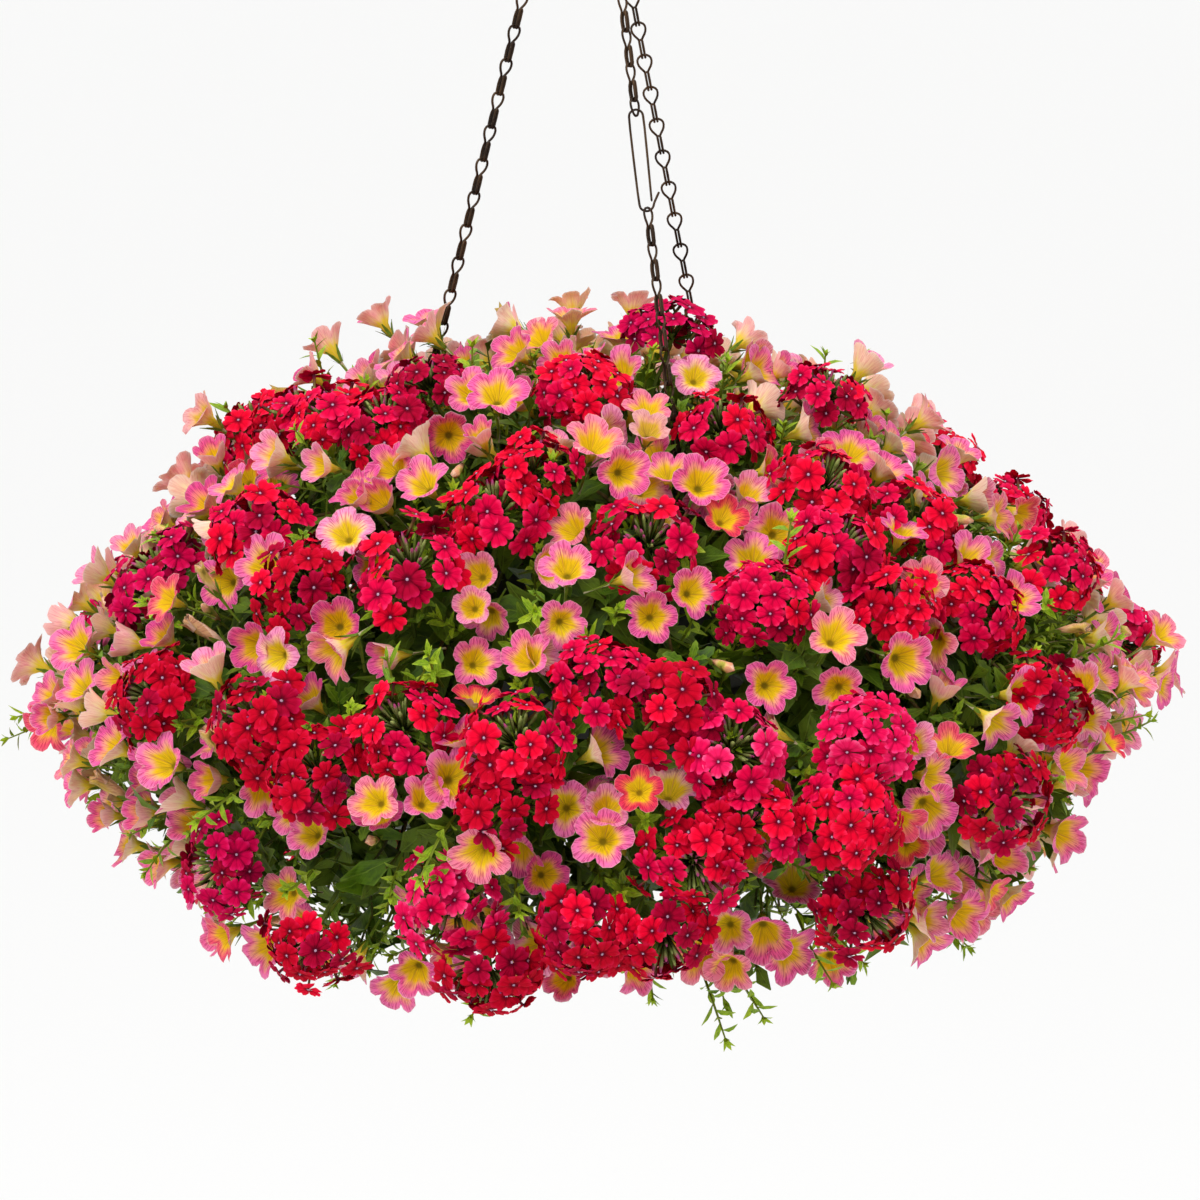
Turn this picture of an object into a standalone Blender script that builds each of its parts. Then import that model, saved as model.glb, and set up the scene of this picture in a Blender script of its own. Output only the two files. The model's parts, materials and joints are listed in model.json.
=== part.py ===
"""Flowering hanging basket: a resin pot on three wire chains under one hook, planted with
three verbenas and three calibrachoas that have grown into one mound.

Metres, +Z up. The origin is the seat of the hook, where it hangs on its bracket. -Y is the front.
"""

import math

import bmesh
import bpy
from mathutils import Matrix, Vector

# Fits
FIT_GAP = 0.0003            # between pieces that touch
LAYER_GAP = 0.0008          # between the flower layer and the leaves under it

# Hook, bent from one wire, with a ring at its foot that carries the chains
HOOK_WIRE = 0.002           # radius of the wire
CROWN_INNER = 0.013         # inner radius of the crown
HOOK_LEG = 0.008            # straight stretch of the free leg under the crown
HOOK_TIP = 0.003            # how far the tip flares, and its height over twice that
HOOK_BEND = 0.012           # radius of the bend back to the middle
BEND_TOP = -0.023           # height where that bend starts
STEM_TOP = -0.046           # where the bent wire reaches the middle
RING_RADIUS = 0.012         # centre line of the ring
RING_WIRE = 0.0013
RING_CENTRE = -0.075        # height of the ring's centre
RING_TURN = math.radians(125)
RING_SPREAD = math.radians(32)   # between neighbouring chains along the ring

# Pot
POT_SHIFT = 0.010           # the pot hangs this far to +X of the hook
RIM_DROP = 0.535            # rim below the hook's seat
LUG_RADIUS = 0.1275         # circle of the three chain holes in the rim
LUG_HOLE = 0.003
RIM_WIDTH = 0.0145          # flat rim, from the wall outwards
RIM_THICK = 0.002
WALL_TOP = 0.1185           # inner radius of the wall under the rim
WALL_FOOT = 0.088           # inner radius of the wall at the floor
WALL_THICK = 0.0018
POT_HEIGHT = 0.165
FLOOR_THICK = 0.0025
DRAIN_HOLE = 0.006
DRAIN_CIRCLE = 0.055
DRAIN_COUNT = 6
SOIL_DROP = 0.012           # soil surface below the rim
POT_STEPS = 48
DRILL_DEPTH = 0.012

# Chains
CHAIN_NAMES = ("right", "left", "front")
LUG_AZIMUTH = {"right": 52.5, "left": 172.5, "front": 292.5}
RING_PLACE = {"front": -1, "right": 0, "left": 1}      # order along the ring
LOOP_FACING = {"right": 94.0, "left": 132.0, "front": 150.0}   # azimuth of the loops' normal
PITCH = 0.020               # one link
CHAIN_WIRE = 0.0015         # diameter of the chain's wire
LINK_OUTLINE = ((0.0016, 0.0043), (0.0048, 0.0020), (0.0046, -0.0020), (0.0016, -0.0070))
LINK_HOLE = ((0.0, 0.0033), (0.0032, 0.0012), (0.0029, -0.0024), (0.0, -0.0056))
RING_TO_LOOP = 0.0003       # first loop's centre below the wire of the ring
CLIP_TO_LOOP = 0.0012       # first loop's centre below the wire of the clip
LOOP_TO_HOOK = 0.0014       # wire of the rim hook, below the last loop's centre
LOOP_TO_CLIP = 0.0032       # wire of the clip, below the last loop's centre
LINKS_FULL = 23             # left and right chains
LINKS_UPPER = 11            # front chain above its clip
LINKS_LOWER = 10            # front chain below its clip

# Clip in the front chain
CLIP_WIRE = 0.00075
CLIP_HALF = 0.0043          # half of the distance between its legs
CLIP_SPREAD = 0.0012        # how far its free end flares
CLIP_TURN = 0.0             # azimuth of its plane

# Hooks that hold the rim
RIM_HOOK_WIRE = 0.001
RIM_HOOK_EYE = 0.0040
RIM_HOOK_CURL = 0.0052
RIM_HOOK_LEG = 0.0009       # inwards of the hole's middle
RIM_HOOK_LIFT = 0.0036      # centre of the curl above the rim's underside
RIM_HOOK_END = 0.0025       # straight end after the curl

# Plants: outer line of the flowers as (radius, height above the rim), from the top to the skirt
MOUND_LINE = (
    (0.015, 0.131),
    (0.100, 0.121),
    (0.190, 0.088),
    (0.265, 0.032),
    (0.325, -0.038),
    (0.3455, -0.088),
    (0.325, -0.148),
    (0.280, -0.208),
    (0.215, -0.255),
    (0.150, -0.266),
)
FLOWER_DEPTH = 0.024        # thickness of the flower layer
SECTOR_STEP = math.radians(10)
SKIRT_INNER = 0.122         # inner radius of the skirt's foot
SKIRT_WAIST = 0.103         # inner radius of the leaves beside the pot's foot
RIM_CLEARANCE = 0.0015      # leaves to the pot's wall and the rim's edge
CHANNEL_HALF = 0.0065       # half width of the way that a chain has through the plants
CHANNEL_REACH = 0.010       # half size of that way, outwards
CHANNEL_LENGTH = 0.190
CHANNEL_FOOT = 0.012        # from the rim down to the way's foot
CHANNEL_SHIFT = 0.004       # outwards of the chain, so that the rim hook's curl is clear too
CROWN_CIRCLE = 0.066
CROWN_FOOT = 0.009
CROWN_TOP = 0.0055
CROWN_HEIGHT = 0.026
CALIBRACHOA_AZIMUTH = (202.5, 322.5, 82.5)
VERBENA_AZIMUTH = (262.5, 22.5, 142.5)

# Verbena heads: turned profile as (radius, height along the head's axis)
HEAD_PROFILE = ((0.0, 0.011), (0.020, 0.007), (0.029, -0.002), (0.017, -0.012), (0.0, -0.017))
HEAD_SIDES = 10
# For each verbena, its heads as (azimuth, distance from the mound's top along the flowers)
HEADS = (
    (
        (263, 0.10), (258, 0.19), (276, 0.24), (246, 0.27), (288, 0.29),
        (276, 0.35), (262, 0.37), (234, 0.38), (296, 0.38), (255, 0.48),
    ),
    (
        (332, 0.14), (307, 0.21), (323, 0.24), (30, 0.27), (320, 0.31),
        (340, 0.31), (322, 0.38), (8, 0.40), (52, 0.42), (312, 0.44),
    ),
    (
        (208, 0.17), (181, 0.21), (140, 0.24), (231, 0.29), (95, 0.30),
        (203, 0.31), (165, 0.38), (218, 0.38), (118, 0.40), (228, 0.48),
    ),
)

# Colours, linear, with roughness and metallic value
FINISHES = {
    "wire": ((0.020, 0.014, 0.010), 0.38, 0.9),
    "hook_wire": ((0.030, 0.024, 0.020), 0.35, 0.9),
    "resin": ((0.012, 0.012, 0.011), 0.5, 0.0),
    "soil": ((0.030, 0.018, 0.010), 0.95, 0.0),
    "stem": ((0.110, 0.170, 0.040), 0.6, 0.0),
    "verbena_leaf": ((0.035, 0.110, 0.020), 0.6, 0.0),
    "calibrachoa_leaf": ((0.080, 0.200, 0.030), 0.6, 0.0),
    "verbena_bloom": ((0.620, 0.020, 0.090), 0.6, 0.0),
    "calibrachoa_bloom": ((0.620, 0.130, 0.300), 0.6, 0.0),
}


# Scene helpers

def clear_scene():
    for obj in list(bpy.data.objects):
        bpy.data.objects.remove(obj, do_unlink=True)


def make_collection(name):
    collection = bpy.data.collections.new(name)
    bpy.context.scene.collection.children.link(collection)
    return collection


def make_finish(name):
    colour, roughness, metallic = FINISHES[name]
    material = bpy.data.materials.get(name)
    if material is None:
        material = bpy.data.materials.new(name)
        material.use_nodes = True
        shader = material.node_tree.nodes["Principled BSDF"]
        shader.inputs["Base Color"].default_value = (*colour, 1.0)
        shader.inputs["Roughness"].default_value = roughness
        shader.inputs["Metallic"].default_value = metallic
    return material


def add_piece(name, data, finish, place=None):
    """A named sub-part in the part's collection."""
    obj = bpy.data.objects.new(name, data)
    data.materials.append(make_finish(finish))
    if place is not None:
        obj.matrix_world = place
    pieces.objects.link(obj)
    return obj


def add_cutter(name, mesh, place=None):
    obj = bpy.data.objects.new(name, mesh)
    obj.hide_render = True
    obj.display_type = "WIRE"
    if place is not None:
        obj.matrix_world = place
    cutters.objects.link(obj)
    return obj


def cut(obj, cutter, operation="DIFFERENCE"):
    modifier = obj.modifiers.new(cutter.name, "BOOLEAN")
    modifier.operation = operation
    modifier.solver = "EXACT"
    modifier.object = cutter


def finished_mesh(name, bm):
    mesh = bpy.data.meshes.new(name)
    bmesh.ops.recalc_face_normals(bm, faces=bm.faces)
    bm.to_mesh(mesh)
    bm.free()
    return mesh


# Shape helpers

def upright(azimuth):
    """Unit vector along the ground at this azimuth."""
    return Vector((math.cos(azimuth), math.sin(azimuth), 0.0))


def frame_at(point, across, up):
    """Matrix with local X along across, local Y along up and local Z out of their plane."""
    y = up.normalized()
    x = (across - across.dot(y) * y).normalized()
    z = x.cross(y)
    matrix = Matrix((x, y, z)).transposed().to_4x4()
    matrix.translation = point
    return matrix


def arc(centre, radius, first, last, step=30.0):
    """Points of an arc in the local XY plane, with angles in degrees."""
    count = max(1, round(abs(last - first) / step))
    angles = [math.radians(first + (last - first) * i / count) for i in range(count + 1)]
    return [
        (centre[0] + radius * math.cos(a), centre[1] + radius * math.sin(a)) for a in angles
    ]


def wire_curve(name, points, radius):
    """A round wire along 2D points in its own XY plane."""
    curve = bpy.data.curves.new(name, "CURVE")
    curve.dimensions = "3D"
    curve.bevel_depth = radius
    curve.bevel_resolution = 2
    curve.use_fill_caps = True
    spline = curve.splines.new("POLY")
    spline.points.add(len(points) - 1)
    for point, (x, y) in zip(spline.points, points):
        point.co = (x, y, 0.0, 1.0)
    return curve


def turned_mesh(name, profile, steps):
    """A solid turned round Z from a profile of (radius, height), top to bottom outside."""
    mesh = bpy.data.meshes.new(name)
    edges = [(i, i + 1) for i in range(len(profile) - 1)]
    mesh.from_pydata([(r, 0.0, z) for r, z in profile], edges, [])
    turning = bpy.data.objects.new(name, mesh)
    cutters.objects.link(turning)
    screw = turning.modifiers.new("turn", "SCREW")
    screw.steps = steps
    screw.render_steps = steps
    screw.use_merge_vertices = True
    screw.merge_threshold = 0.00001
    bpy.context.view_layer.update()
    solid = bpy.data.meshes.new_from_object(
        turning.evaluated_get(bpy.context.evaluated_depsgraph_get())
    )
    bpy.data.objects.remove(turning, do_unlink=True)
    return solid


def flat_curve(name, outline, holes, thickness):
    """A flat piece with holes, cut from sheet of this thickness."""
    curve = bpy.data.curves.new(name, "CURVE")
    curve.dimensions = "2D"
    curve.fill_mode = "BOTH"
    curve.extrude = thickness / 2
    for line in (outline, *holes):
        spline = curve.splines.new("POLY")
        spline.points.add(len(line) - 1)
        spline.use_cyclic_u = True
        for point, (x, y) in zip(spline.points, line):
            point.co = (x, y, 0.0, 1.0)
    return curve


def meshed(name, curve, place):
    """The welded mesh of a curve."""
    carrier = bpy.data.objects.new(name, curve)
    carrier.matrix_world = place
    cutters.objects.link(carrier)
    bpy.context.view_layer.update()
    mesh = bpy.data.meshes.new_from_object(
        carrier.evaluated_get(bpy.context.evaluated_depsgraph_get())
    )
    bpy.data.objects.remove(carrier, do_unlink=True)
    bm = bmesh.new()
    bm.from_mesh(mesh)
    bmesh.ops.remove_doubles(bm, verts=bm.verts, dist=0.00001)
    bm.to_mesh(mesh)
    bm.free()
    return mesh


# Hook and ring

def ring_point(place):
    """Centre of the ring's wire where a chain hangs, counted from the ring's foot."""
    angle = place * RING_SPREAD
    side = upright(RING_TURN) * RING_RADIUS * math.sin(angle)
    return Vector((0.0, 0.0, RING_CENTRE - RING_RADIUS * math.cos(angle))) + side


def make_hook():
    crown = CROWN_INNER + HOOK_WIRE
    leg_foot = -CROWN_INNER - HOOK_LEG
    points = [(-crown - HOOK_TIP, leg_foot - 2 * HOOK_TIP), (-crown, leg_foot)]
    points += arc((0.0, -CROWN_INNER), crown, 180, 0, 20)
    points += arc((crown - HOOK_BEND, BEND_TOP), HOOK_BEND, 0, -60, 20)
    points += [(HOOK_WIRE, STEM_TOP + 0.005), (0.0, STEM_TOP), (0.0, RING_CENTRE + RING_RADIUS)]
    standing = Matrix.Rotation(math.radians(90), 4, "X")
    mesh = meshed("hanger_hook", wire_curve("hanger_hook", points, HOOK_WIRE), standing)
    hook = add_piece("hanger_hook", mesh, "hook_wire", standing)
    bpy.ops.mesh.primitive_torus_add(
        major_radius=RING_RADIUS, minor_radius=RING_WIRE, major_segments=24, minor_segments=8
    )
    torus = bpy.context.active_object
    ring_place = Matrix.Translation((0.0, 0.0, RING_CENTRE))
    ring_place @= Matrix.Rotation(RING_TURN, 4, "Z") @ Matrix.Rotation(math.radians(90), 4, "X")
    ring = add_cutter("hook_ring", torus.data, ring_place)
    bpy.data.objects.remove(torus, do_unlink=True)
    cut(hook, ring, "UNION")


# Pot and soil

def rim_place():
    return Matrix.Translation((POT_SHIFT, 0.0, -RIM_DROP))


def wall_radius(height):
    """Inner radius of the pot's wall at a height above the rim."""
    share = (height + POT_HEIGHT) / POT_HEIGHT
    return WALL_FOOT + (WALL_TOP - WALL_FOOT) * share


def make_pot():
    floor = -POT_HEIGHT + FLOOR_THICK
    edge = WALL_TOP + RIM_WIDTH
    profile = [
        (0.0, floor),
        (wall_radius(floor), floor),
        (WALL_TOP, 0.0),
        (edge, 0.0),
        (edge, -RIM_THICK),
        (wall_radius(-RIM_THICK) + WALL_THICK, -RIM_THICK),
        (WALL_FOOT + WALL_THICK, -POT_HEIGHT),
        (0.0, -POT_HEIGHT),
    ]
    pot = add_piece("hanging_pot", turned_mesh("hanging_pot", profile, POT_STEPS), "resin", rim_place())
    for name in CHAIN_NAMES:
        spot = rim_place() @ (upright(math.radians(LUG_AZIMUTH[name])) * LUG_RADIUS)
        cut(pot, drill(name + "_lug_hole", spot, LUG_HOLE, 12))
    for i in range(DRAIN_COUNT):
        spot = upright(math.tau * i / DRAIN_COUNT) * DRAIN_CIRCLE
        spot.z = -POT_HEIGHT
        cut(pot, drill(f"drain_hole_{i + 1}", rim_place() @ spot, DRAIN_HOLE, 16))


def drill(name, point, radius, sides):
    """A cutter for a hole through the rim or the floor."""
    bm = bmesh.new()
    bmesh.ops.create_cone(
        bm, cap_ends=True, segments=sides, radius1=radius, radius2=radius, depth=DRILL_DEPTH
    )
    return add_cutter(name, finished_mesh(name, bm), Matrix.Translation(point))


def make_soil():
    floor = -POT_HEIGHT + FLOOR_THICK + FIT_GAP
    profile = [
        (0.0, -SOIL_DROP),
        (wall_radius(-SOIL_DROP) - FIT_GAP, -SOIL_DROP),
        (wall_radius(floor) - FIT_GAP, floor),
        (0.0, floor),
    ]
    add_piece("potting_soil", turned_mesh("potting_soil", profile, POT_STEPS), "soil", rim_place())


# Chains, clip and rim hooks

def lug_point(name):
    """Middle of the hole in the rim that this chain's hook goes through."""
    spot = upright(math.radians(LUG_AZIMUTH[name])) * LUG_RADIUS
    spot.z = -RIM_THICK / 2
    return rim_place() @ spot


def chain_line(name):
    """The chain's upper end on the ring, and its direction upwards."""
    top = ring_point(RING_PLACE[name])
    return top, (top - lug_point(name)).normalized()


def strand_length(links, first_drop, last_drop):
    """Between the wires that hold a strand's first and last loops."""
    return first_drop + (links - 1) * PITCH + last_drop


def make_strand(name, top, up, facing, links, first_drop):
    """A run of links below the wire at top, as one flat piece with a hole for each loop."""
    side = []
    holes = []
    for i in range(links):
        middle = -first_drop - i * PITCH
        side += [(x, middle + y) for x, y in LINK_OUTLINE]
        right = [(x, middle + y) for x, y in LINK_HOLE]
        holes.append(right + [(-x, y) for x, y in reversed(right[1:-1])])
    outline = side + [(-x, y) for x, y in reversed(side)]
    curve = flat_curve(name, outline, holes, CHAIN_WIRE)
    across = upright(math.radians(facing - 90))
    add_piece(name, curve, "wire", frame_at(top, across, up))


def make_rim_hook(name, hold, up):
    """From the chain's last loop at hold, down through the rim and round its edge."""
    lug = lug_point(name)
    outwards = Vector((lug.x - hold.x, lug.y - hold.y, 0.0)).normalized()
    eye = hold - up * RIM_HOOK_EYE - lug
    eye_middle = (eye.dot(outwards), eye.z)
    curl_middle = (RIM_HOOK_CURL - RIM_HOOK_LEG, RIM_HOOK_LIFT - RIM_THICK / 2)
    points = arc(eye_middle, RIM_HOOK_EYE, -50, 200)
    points += arc(curl_middle, RIM_HOOK_CURL, 180, 360, 18)
    points.append((points[-1][0], points[-1][1] + RIM_HOOK_END))
    place = frame_at(lug, outwards, Vector((0.0, 0.0, 1.0)))
    add_piece(name + "_rim_hook", wire_curve(name + "_rim_hook", points, RIM_HOOK_WIRE), "wire", place)


def make_clip(top, up, span):
    """A narrow loop of wire between two strands, closed on its own flared end."""
    upper = (0.0, -CLIP_HALF)
    lower = (0.0, -span + CLIP_HALF)
    points = [(CLIP_HALF + 3 * CLIP_SPREAD, lower[1] + 0.006), (CLIP_HALF + CLIP_SPREAD, lower[1] + 0.002)]
    points += arc(lower, CLIP_HALF, 0, -180)
    points += arc(upper, CLIP_HALF, 180, 0)
    points.append((CLIP_HALF - CLIP_SPREAD, lower[1] + 0.001))
    place = frame_at(top, upright(CLIP_TURN), up)
    add_piece("front_chain_clip", wire_curve("front_chain_clip", points, CLIP_WIRE), "wire", place)


def make_chains():
    full = strand_length(LINKS_FULL, RING_TO_LOOP, LOOP_TO_HOOK)
    for name in ("right", "left"):
        top, up = chain_line(name)
        make_strand(name + "_chain", top, up, LOOP_FACING[name], LINKS_FULL, RING_TO_LOOP)
        make_rim_hook(name, top - up * full, up)
    rim_hook = (top - lug_point("left")).length - full
    top, up = chain_line("front")
    whole = (top - lug_point("front")).length - rim_hook
    upper = strand_length(LINKS_UPPER, RING_TO_LOOP, LOOP_TO_CLIP)
    lower = strand_length(LINKS_LOWER, CLIP_TO_LOOP, LOOP_TO_HOOK)
    facing = LOOP_FACING["front"]
    make_strand("front_chain_upper", top, up, facing, LINKS_UPPER, RING_TO_LOOP)
    make_clip(top - up * upper, up, whole - upper - lower)
    clip_foot = top - up * (whole - lower)
    make_strand("front_chain_lower", clip_foot, up, facing, LINKS_LOWER, CLIP_TO_LOOP)
    make_rim_hook("front", top - up * whole, up)


# Plants

def moved_in(line, depth):
    """A line of (radius, height) moved by depth towards the mound's inside."""
    moved = []
    for i, (r, z) in enumerate(line):
        before = Vector(line[max(i - 1, 0)])
        after = Vector(line[min(i + 1, len(line) - 1)])
        along = (after - before).normalized()
        moved.append((max(r + along.y * depth, line[0][0]), z - along.x * depth))
    return moved


def grown_profile(profile):
    """A turned profile made larger by the fit gap, with its ends still on the axis."""
    middle = moved_in(profile, -FIT_GAP)[1:-1]
    top, foot = profile[0][1] + FIT_GAP, profile[-1][1] - FIT_GAP
    return [(0.0, top), *middle, (0.0, foot)]


def sector_mesh(name, profile, azimuth, span):
    """A wedge of a turned solid, set out from the axis so that its sides clear the next wedge."""
    bm = bmesh.new()
    start = upright(azimuth - span / 2)
    face = bm.faces.new([bm.verts.new(start * r + Vector((0.0, 0.0, z))) for r, z in profile])
    bmesh.ops.spin(
        bm,
        geom=[face, *face.edges, *face.verts],
        cent=(0.0, 0.0, 0.0),
        axis=(0.0, 0.0, 1.0),
        angle=span,
        steps=round(span / SECTOR_STEP),
        use_merge=False,
        use_duplicate=False,
    )
    outwards = upright(azimuth) * FIT_GAP / 2 / math.sin(span / 2)
    bmesh.ops.translate(bm, verts=bm.verts, vec=outwards)
    return finished_mesh(name, bm)


def flower_profile():
    return [*MOUND_LINE, *reversed(moved_in(MOUND_LINE, FLOWER_DEPTH))]


def leaf_profile():
    """Round the leaves: under the flower layer, up inside the skirt, along the pot and over its rim."""
    outer = moved_in(MOUND_LINE, FLOWER_DEPTH + LAYER_GAP)
    edge = WALL_TOP + RIM_WIDTH + RIM_CLEARANCE
    wall = WALL_THICK + RIM_CLEARANCE
    under_rim = -RIM_THICK - 0.010
    inner = [
        (SKIRT_INNER, outer[-1][1]),
        (SKIRT_WAIST, -POT_HEIGHT - 0.020),
        (WALL_FOOT + wall, -POT_HEIGHT),
        (wall_radius(under_rim) + wall, under_rim),
        (edge, -RIM_THICK),
        (edge, FIT_GAP),
        (WALL_TOP - 0.004, FIT_GAP),
        (wall_radius(-SOIL_DROP) - 0.006, -SOIL_DROP + FIT_GAP),
        (outer[0][0], -SOIL_DROP + FIT_GAP),
    ]
    return outer + inner


def crown_mesh(name, extra):
    """The woody foot of a plant, or the pocket for it when extra is over 0."""
    bm = bmesh.new()
    bmesh.ops.create_cone(
        bm,
        cap_ends=True,
        segments=10,
        radius1=CROWN_FOOT + extra,
        radius2=CROWN_TOP + extra,
        depth=CROWN_HEIGHT + 2 * extra,
    )
    return finished_mesh(name, bm)


def channel_cutter(name):
    """A slanted box round the chain and its rim hook, where they pass through the plants."""
    lug = lug_point(name)
    top, up = chain_line(name)
    outwards = Vector((lug.x - top.x, lug.y - top.y, 0.0)).normalized()
    bm = bmesh.new()
    bmesh.ops.create_cube(bm, size=1.0)
    size = Matrix.Diagonal((2 * CHANNEL_REACH, CHANNEL_LENGTH, 2 * CHANNEL_HALF, 1.0))
    bmesh.ops.transform(bm, matrix=size, verts=bm.verts)
    middle = lug + up * (CHANNEL_LENGTH / 2 - CHANNEL_FOOT) + outwards * CHANNEL_SHIFT
    mesh = finished_mesh(name + "_channel", bm)
    return add_cutter(name + "_channel", mesh, frame_at(middle, outwards, up))


def mound_spot(azimuth, distance):
    """The point and outward direction on the flowers at this distance from the mound's top."""
    for (r0, z0), (r1, z1) in zip(MOUND_LINE, MOUND_LINE[1:]):
        run = math.hypot(r1 - r0, z1 - z0)
        if distance <= run:
            break
        distance -= run
    share = distance / run
    radial = upright(math.radians(azimuth))
    point = radial * (r0 + (r1 - r0) * share) + Vector((0.0, 0.0, z0 + (z1 - z0) * share))
    out = radial * (z0 - z1) + Vector((0.0, 0.0, r1 - r0))
    return rim_place() @ point, out.normalized()


def head_place(azimuth, distance):
    point, out = mound_spot(azimuth, distance)
    turn = out.to_track_quat("Z", "Y").to_matrix().to_4x4()
    return Matrix.Translation(point) @ turn


def make_plants():
    channels = {name: channel_cutter(name) for name in CHAIN_NAMES}
    head = turned_mesh("verbena_head", HEAD_PROFILE, HEAD_SIDES)
    pocket = turned_mesh("head_pocket", grown_profile(HEAD_PROFILE), HEAD_SIDES)
    sector = math.radians(60)
    layers = []
    for i, azimuth in enumerate(CALIBRACHOA_AZIMUTH):
        name = f"calibrachoa_{i + 1}"
        make_plant(name, azimuth, "calibrachoa_leaf", sector, channels)
        middle = math.radians(azimuth + 30)
        mesh = sector_mesh(name + "_blooms", flower_profile(), middle, 2 * sector)
        blooms = add_piece(name + "_blooms", mesh, "calibrachoa_bloom", rim_place())
        for channel in channels.values():
            cut(blooms, channel)
        layers.append(blooms)
    for i, (azimuth, heads) in enumerate(zip(VERBENA_AZIMUTH, HEADS)):
        name = f"verbena_{i + 1}"
        make_plant(name, azimuth, "verbena_leaf", sector, channels)
        for j, (head_azimuth, distance) in enumerate(heads):
            place = head_place(head_azimuth, distance)
            add_piece(f"{name}_head_{j + 1:02d}", head, "verbena_bloom", place)
            cutter = add_cutter(f"{name}_pocket_{j + 1:02d}", pocket, place)
            for blooms in layers:
                if pocket_meets(head_azimuth, distance, blooms):
                    cut(blooms, cutter)


def pocket_meets(azimuth, distance, blooms):
    """Whether a head's pocket reaches into this plant's third of the flower layer."""
    index = int(blooms.name.split("_")[1]) - 1
    middle = CALIBRACHOA_AZIMUTH[index] + 30
    off = abs((azimuth - middle + 180) % 360 - 180)
    reach = math.hypot(*(mound_spot(azimuth, distance)[0] - rim_place().translation).xy)
    return off < 60 + math.degrees(math.asin(min(1.0, 0.032 / reach)))


def make_plant(name, azimuth, finish, sector, channels):
    mesh = sector_mesh(name + "_leaves", leaf_profile(), math.radians(azimuth), sector)
    leaves = add_piece(name + "_leaves", mesh, finish, rim_place())
    for channel in channels.values():
        cut(leaves, channel)
    foot = upright(math.radians(azimuth)) * CROWN_CIRCLE
    foot.z = -SOIL_DROP + FIT_GAP + CROWN_HEIGHT / 2
    place = rim_place() @ Matrix.Translation(foot)
    add_piece(name + "_stems", crown_mesh(name + "_stems", 0.0), "stem", place)
    cut(leaves, add_cutter(name + "_crown_pocket", crown_mesh(name + "_crown_pocket", FIT_GAP), place))


clear_scene()
pieces = make_collection("flowering_hanging_basket")
cutters = make_collection("cutters")
make_hook()
make_pot()
make_soil()
make_chains()
make_plants()
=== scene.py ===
import json
import math
import random

import bpy
from mathutils import Matrix, Vector, kdtree, noise

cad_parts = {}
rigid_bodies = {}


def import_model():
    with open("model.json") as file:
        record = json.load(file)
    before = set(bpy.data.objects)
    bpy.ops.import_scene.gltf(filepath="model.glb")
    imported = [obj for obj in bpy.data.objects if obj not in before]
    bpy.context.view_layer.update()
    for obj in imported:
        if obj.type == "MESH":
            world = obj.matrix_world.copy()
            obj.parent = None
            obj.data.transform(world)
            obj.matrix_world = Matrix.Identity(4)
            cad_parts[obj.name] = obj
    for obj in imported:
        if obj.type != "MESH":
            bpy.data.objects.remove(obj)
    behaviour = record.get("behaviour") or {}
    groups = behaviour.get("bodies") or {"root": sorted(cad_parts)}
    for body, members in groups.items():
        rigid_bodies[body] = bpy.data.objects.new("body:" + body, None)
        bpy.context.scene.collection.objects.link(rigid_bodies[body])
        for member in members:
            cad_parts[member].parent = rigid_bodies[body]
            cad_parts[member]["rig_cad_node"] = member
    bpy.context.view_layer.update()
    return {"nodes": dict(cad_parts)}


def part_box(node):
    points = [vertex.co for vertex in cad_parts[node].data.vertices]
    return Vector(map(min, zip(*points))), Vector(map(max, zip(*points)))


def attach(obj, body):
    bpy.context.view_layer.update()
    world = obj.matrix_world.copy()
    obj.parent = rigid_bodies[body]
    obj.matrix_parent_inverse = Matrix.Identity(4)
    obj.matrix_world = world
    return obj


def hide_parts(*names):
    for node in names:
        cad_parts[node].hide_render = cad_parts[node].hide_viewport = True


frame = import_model()
dice = random.Random(11)
goldenAngle = 137.5


# Picking and editing

def pickNothing():
    bpy.ops.object.select_all(action="DESELECT")


def pick(first, *others):
    pickNothing()
    for each in (first, *others):
        each.select_set(True)
    bpy.context.view_layer.objects.active = first


def startEditing(thing):
    pick(thing)
    bpy.ops.object.mode_set(mode="EDIT")
    bpy.ops.mesh.select_all(action="SELECT")


def stopEditing():
    bpy.ops.object.mode_set(mode="OBJECT")


def joined(name, parts):
    pick(*parts)
    if len(parts) > 1:
        bpy.ops.object.join()
    whole = bpy.context.object
    whole.name = name
    whole.data.name = name
    pickNothing()
    return whole


def smoothed(thing):
    pick(thing)
    bpy.ops.object.shade_smooth()
    return thing


def coated(thing, material):
    thing.data.materials.clear()
    thing.data.materials.append(material)
    return thing


def copyOf(template, place):
    twin = template.copy()
    twin.data = template.data.copy()
    twin.data.transform(place)
    bpy.context.scene.collection.objects.link(twin)
    return twin


def putAway(parts):
    for each in parts:
        bpy.data.objects.remove(each, do_unlink=True)


# Directions and places

def around(azimuth):
    return Vector((math.cos(math.radians(azimuth)), math.sin(math.radians(azimuth)), 0))


def facing(point, outward, roll=0.0, size=1.0):
    # local Z along outward, turned about it by roll degrees
    turn = outward.to_track_quat("Z", "Y").to_matrix().to_4x4()
    spin = Matrix.Rotation(math.radians(roll), 4, "Z")
    return Matrix.Translation(point) @ turn @ spin @ Matrix.Scale(size, 4)


def leaning(direction, degrees):
    # the direction, tilted by this many degrees to a random side
    side = direction.orthogonal().normalized()
    side.rotate(Matrix.Rotation(dice.uniform(0, math.tau), 3, direction))
    return (direction + side * math.tan(math.radians(degrees))).normalized()


# Shapes that grow ring by ring: a disc is extruded and widened, again and again

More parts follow.
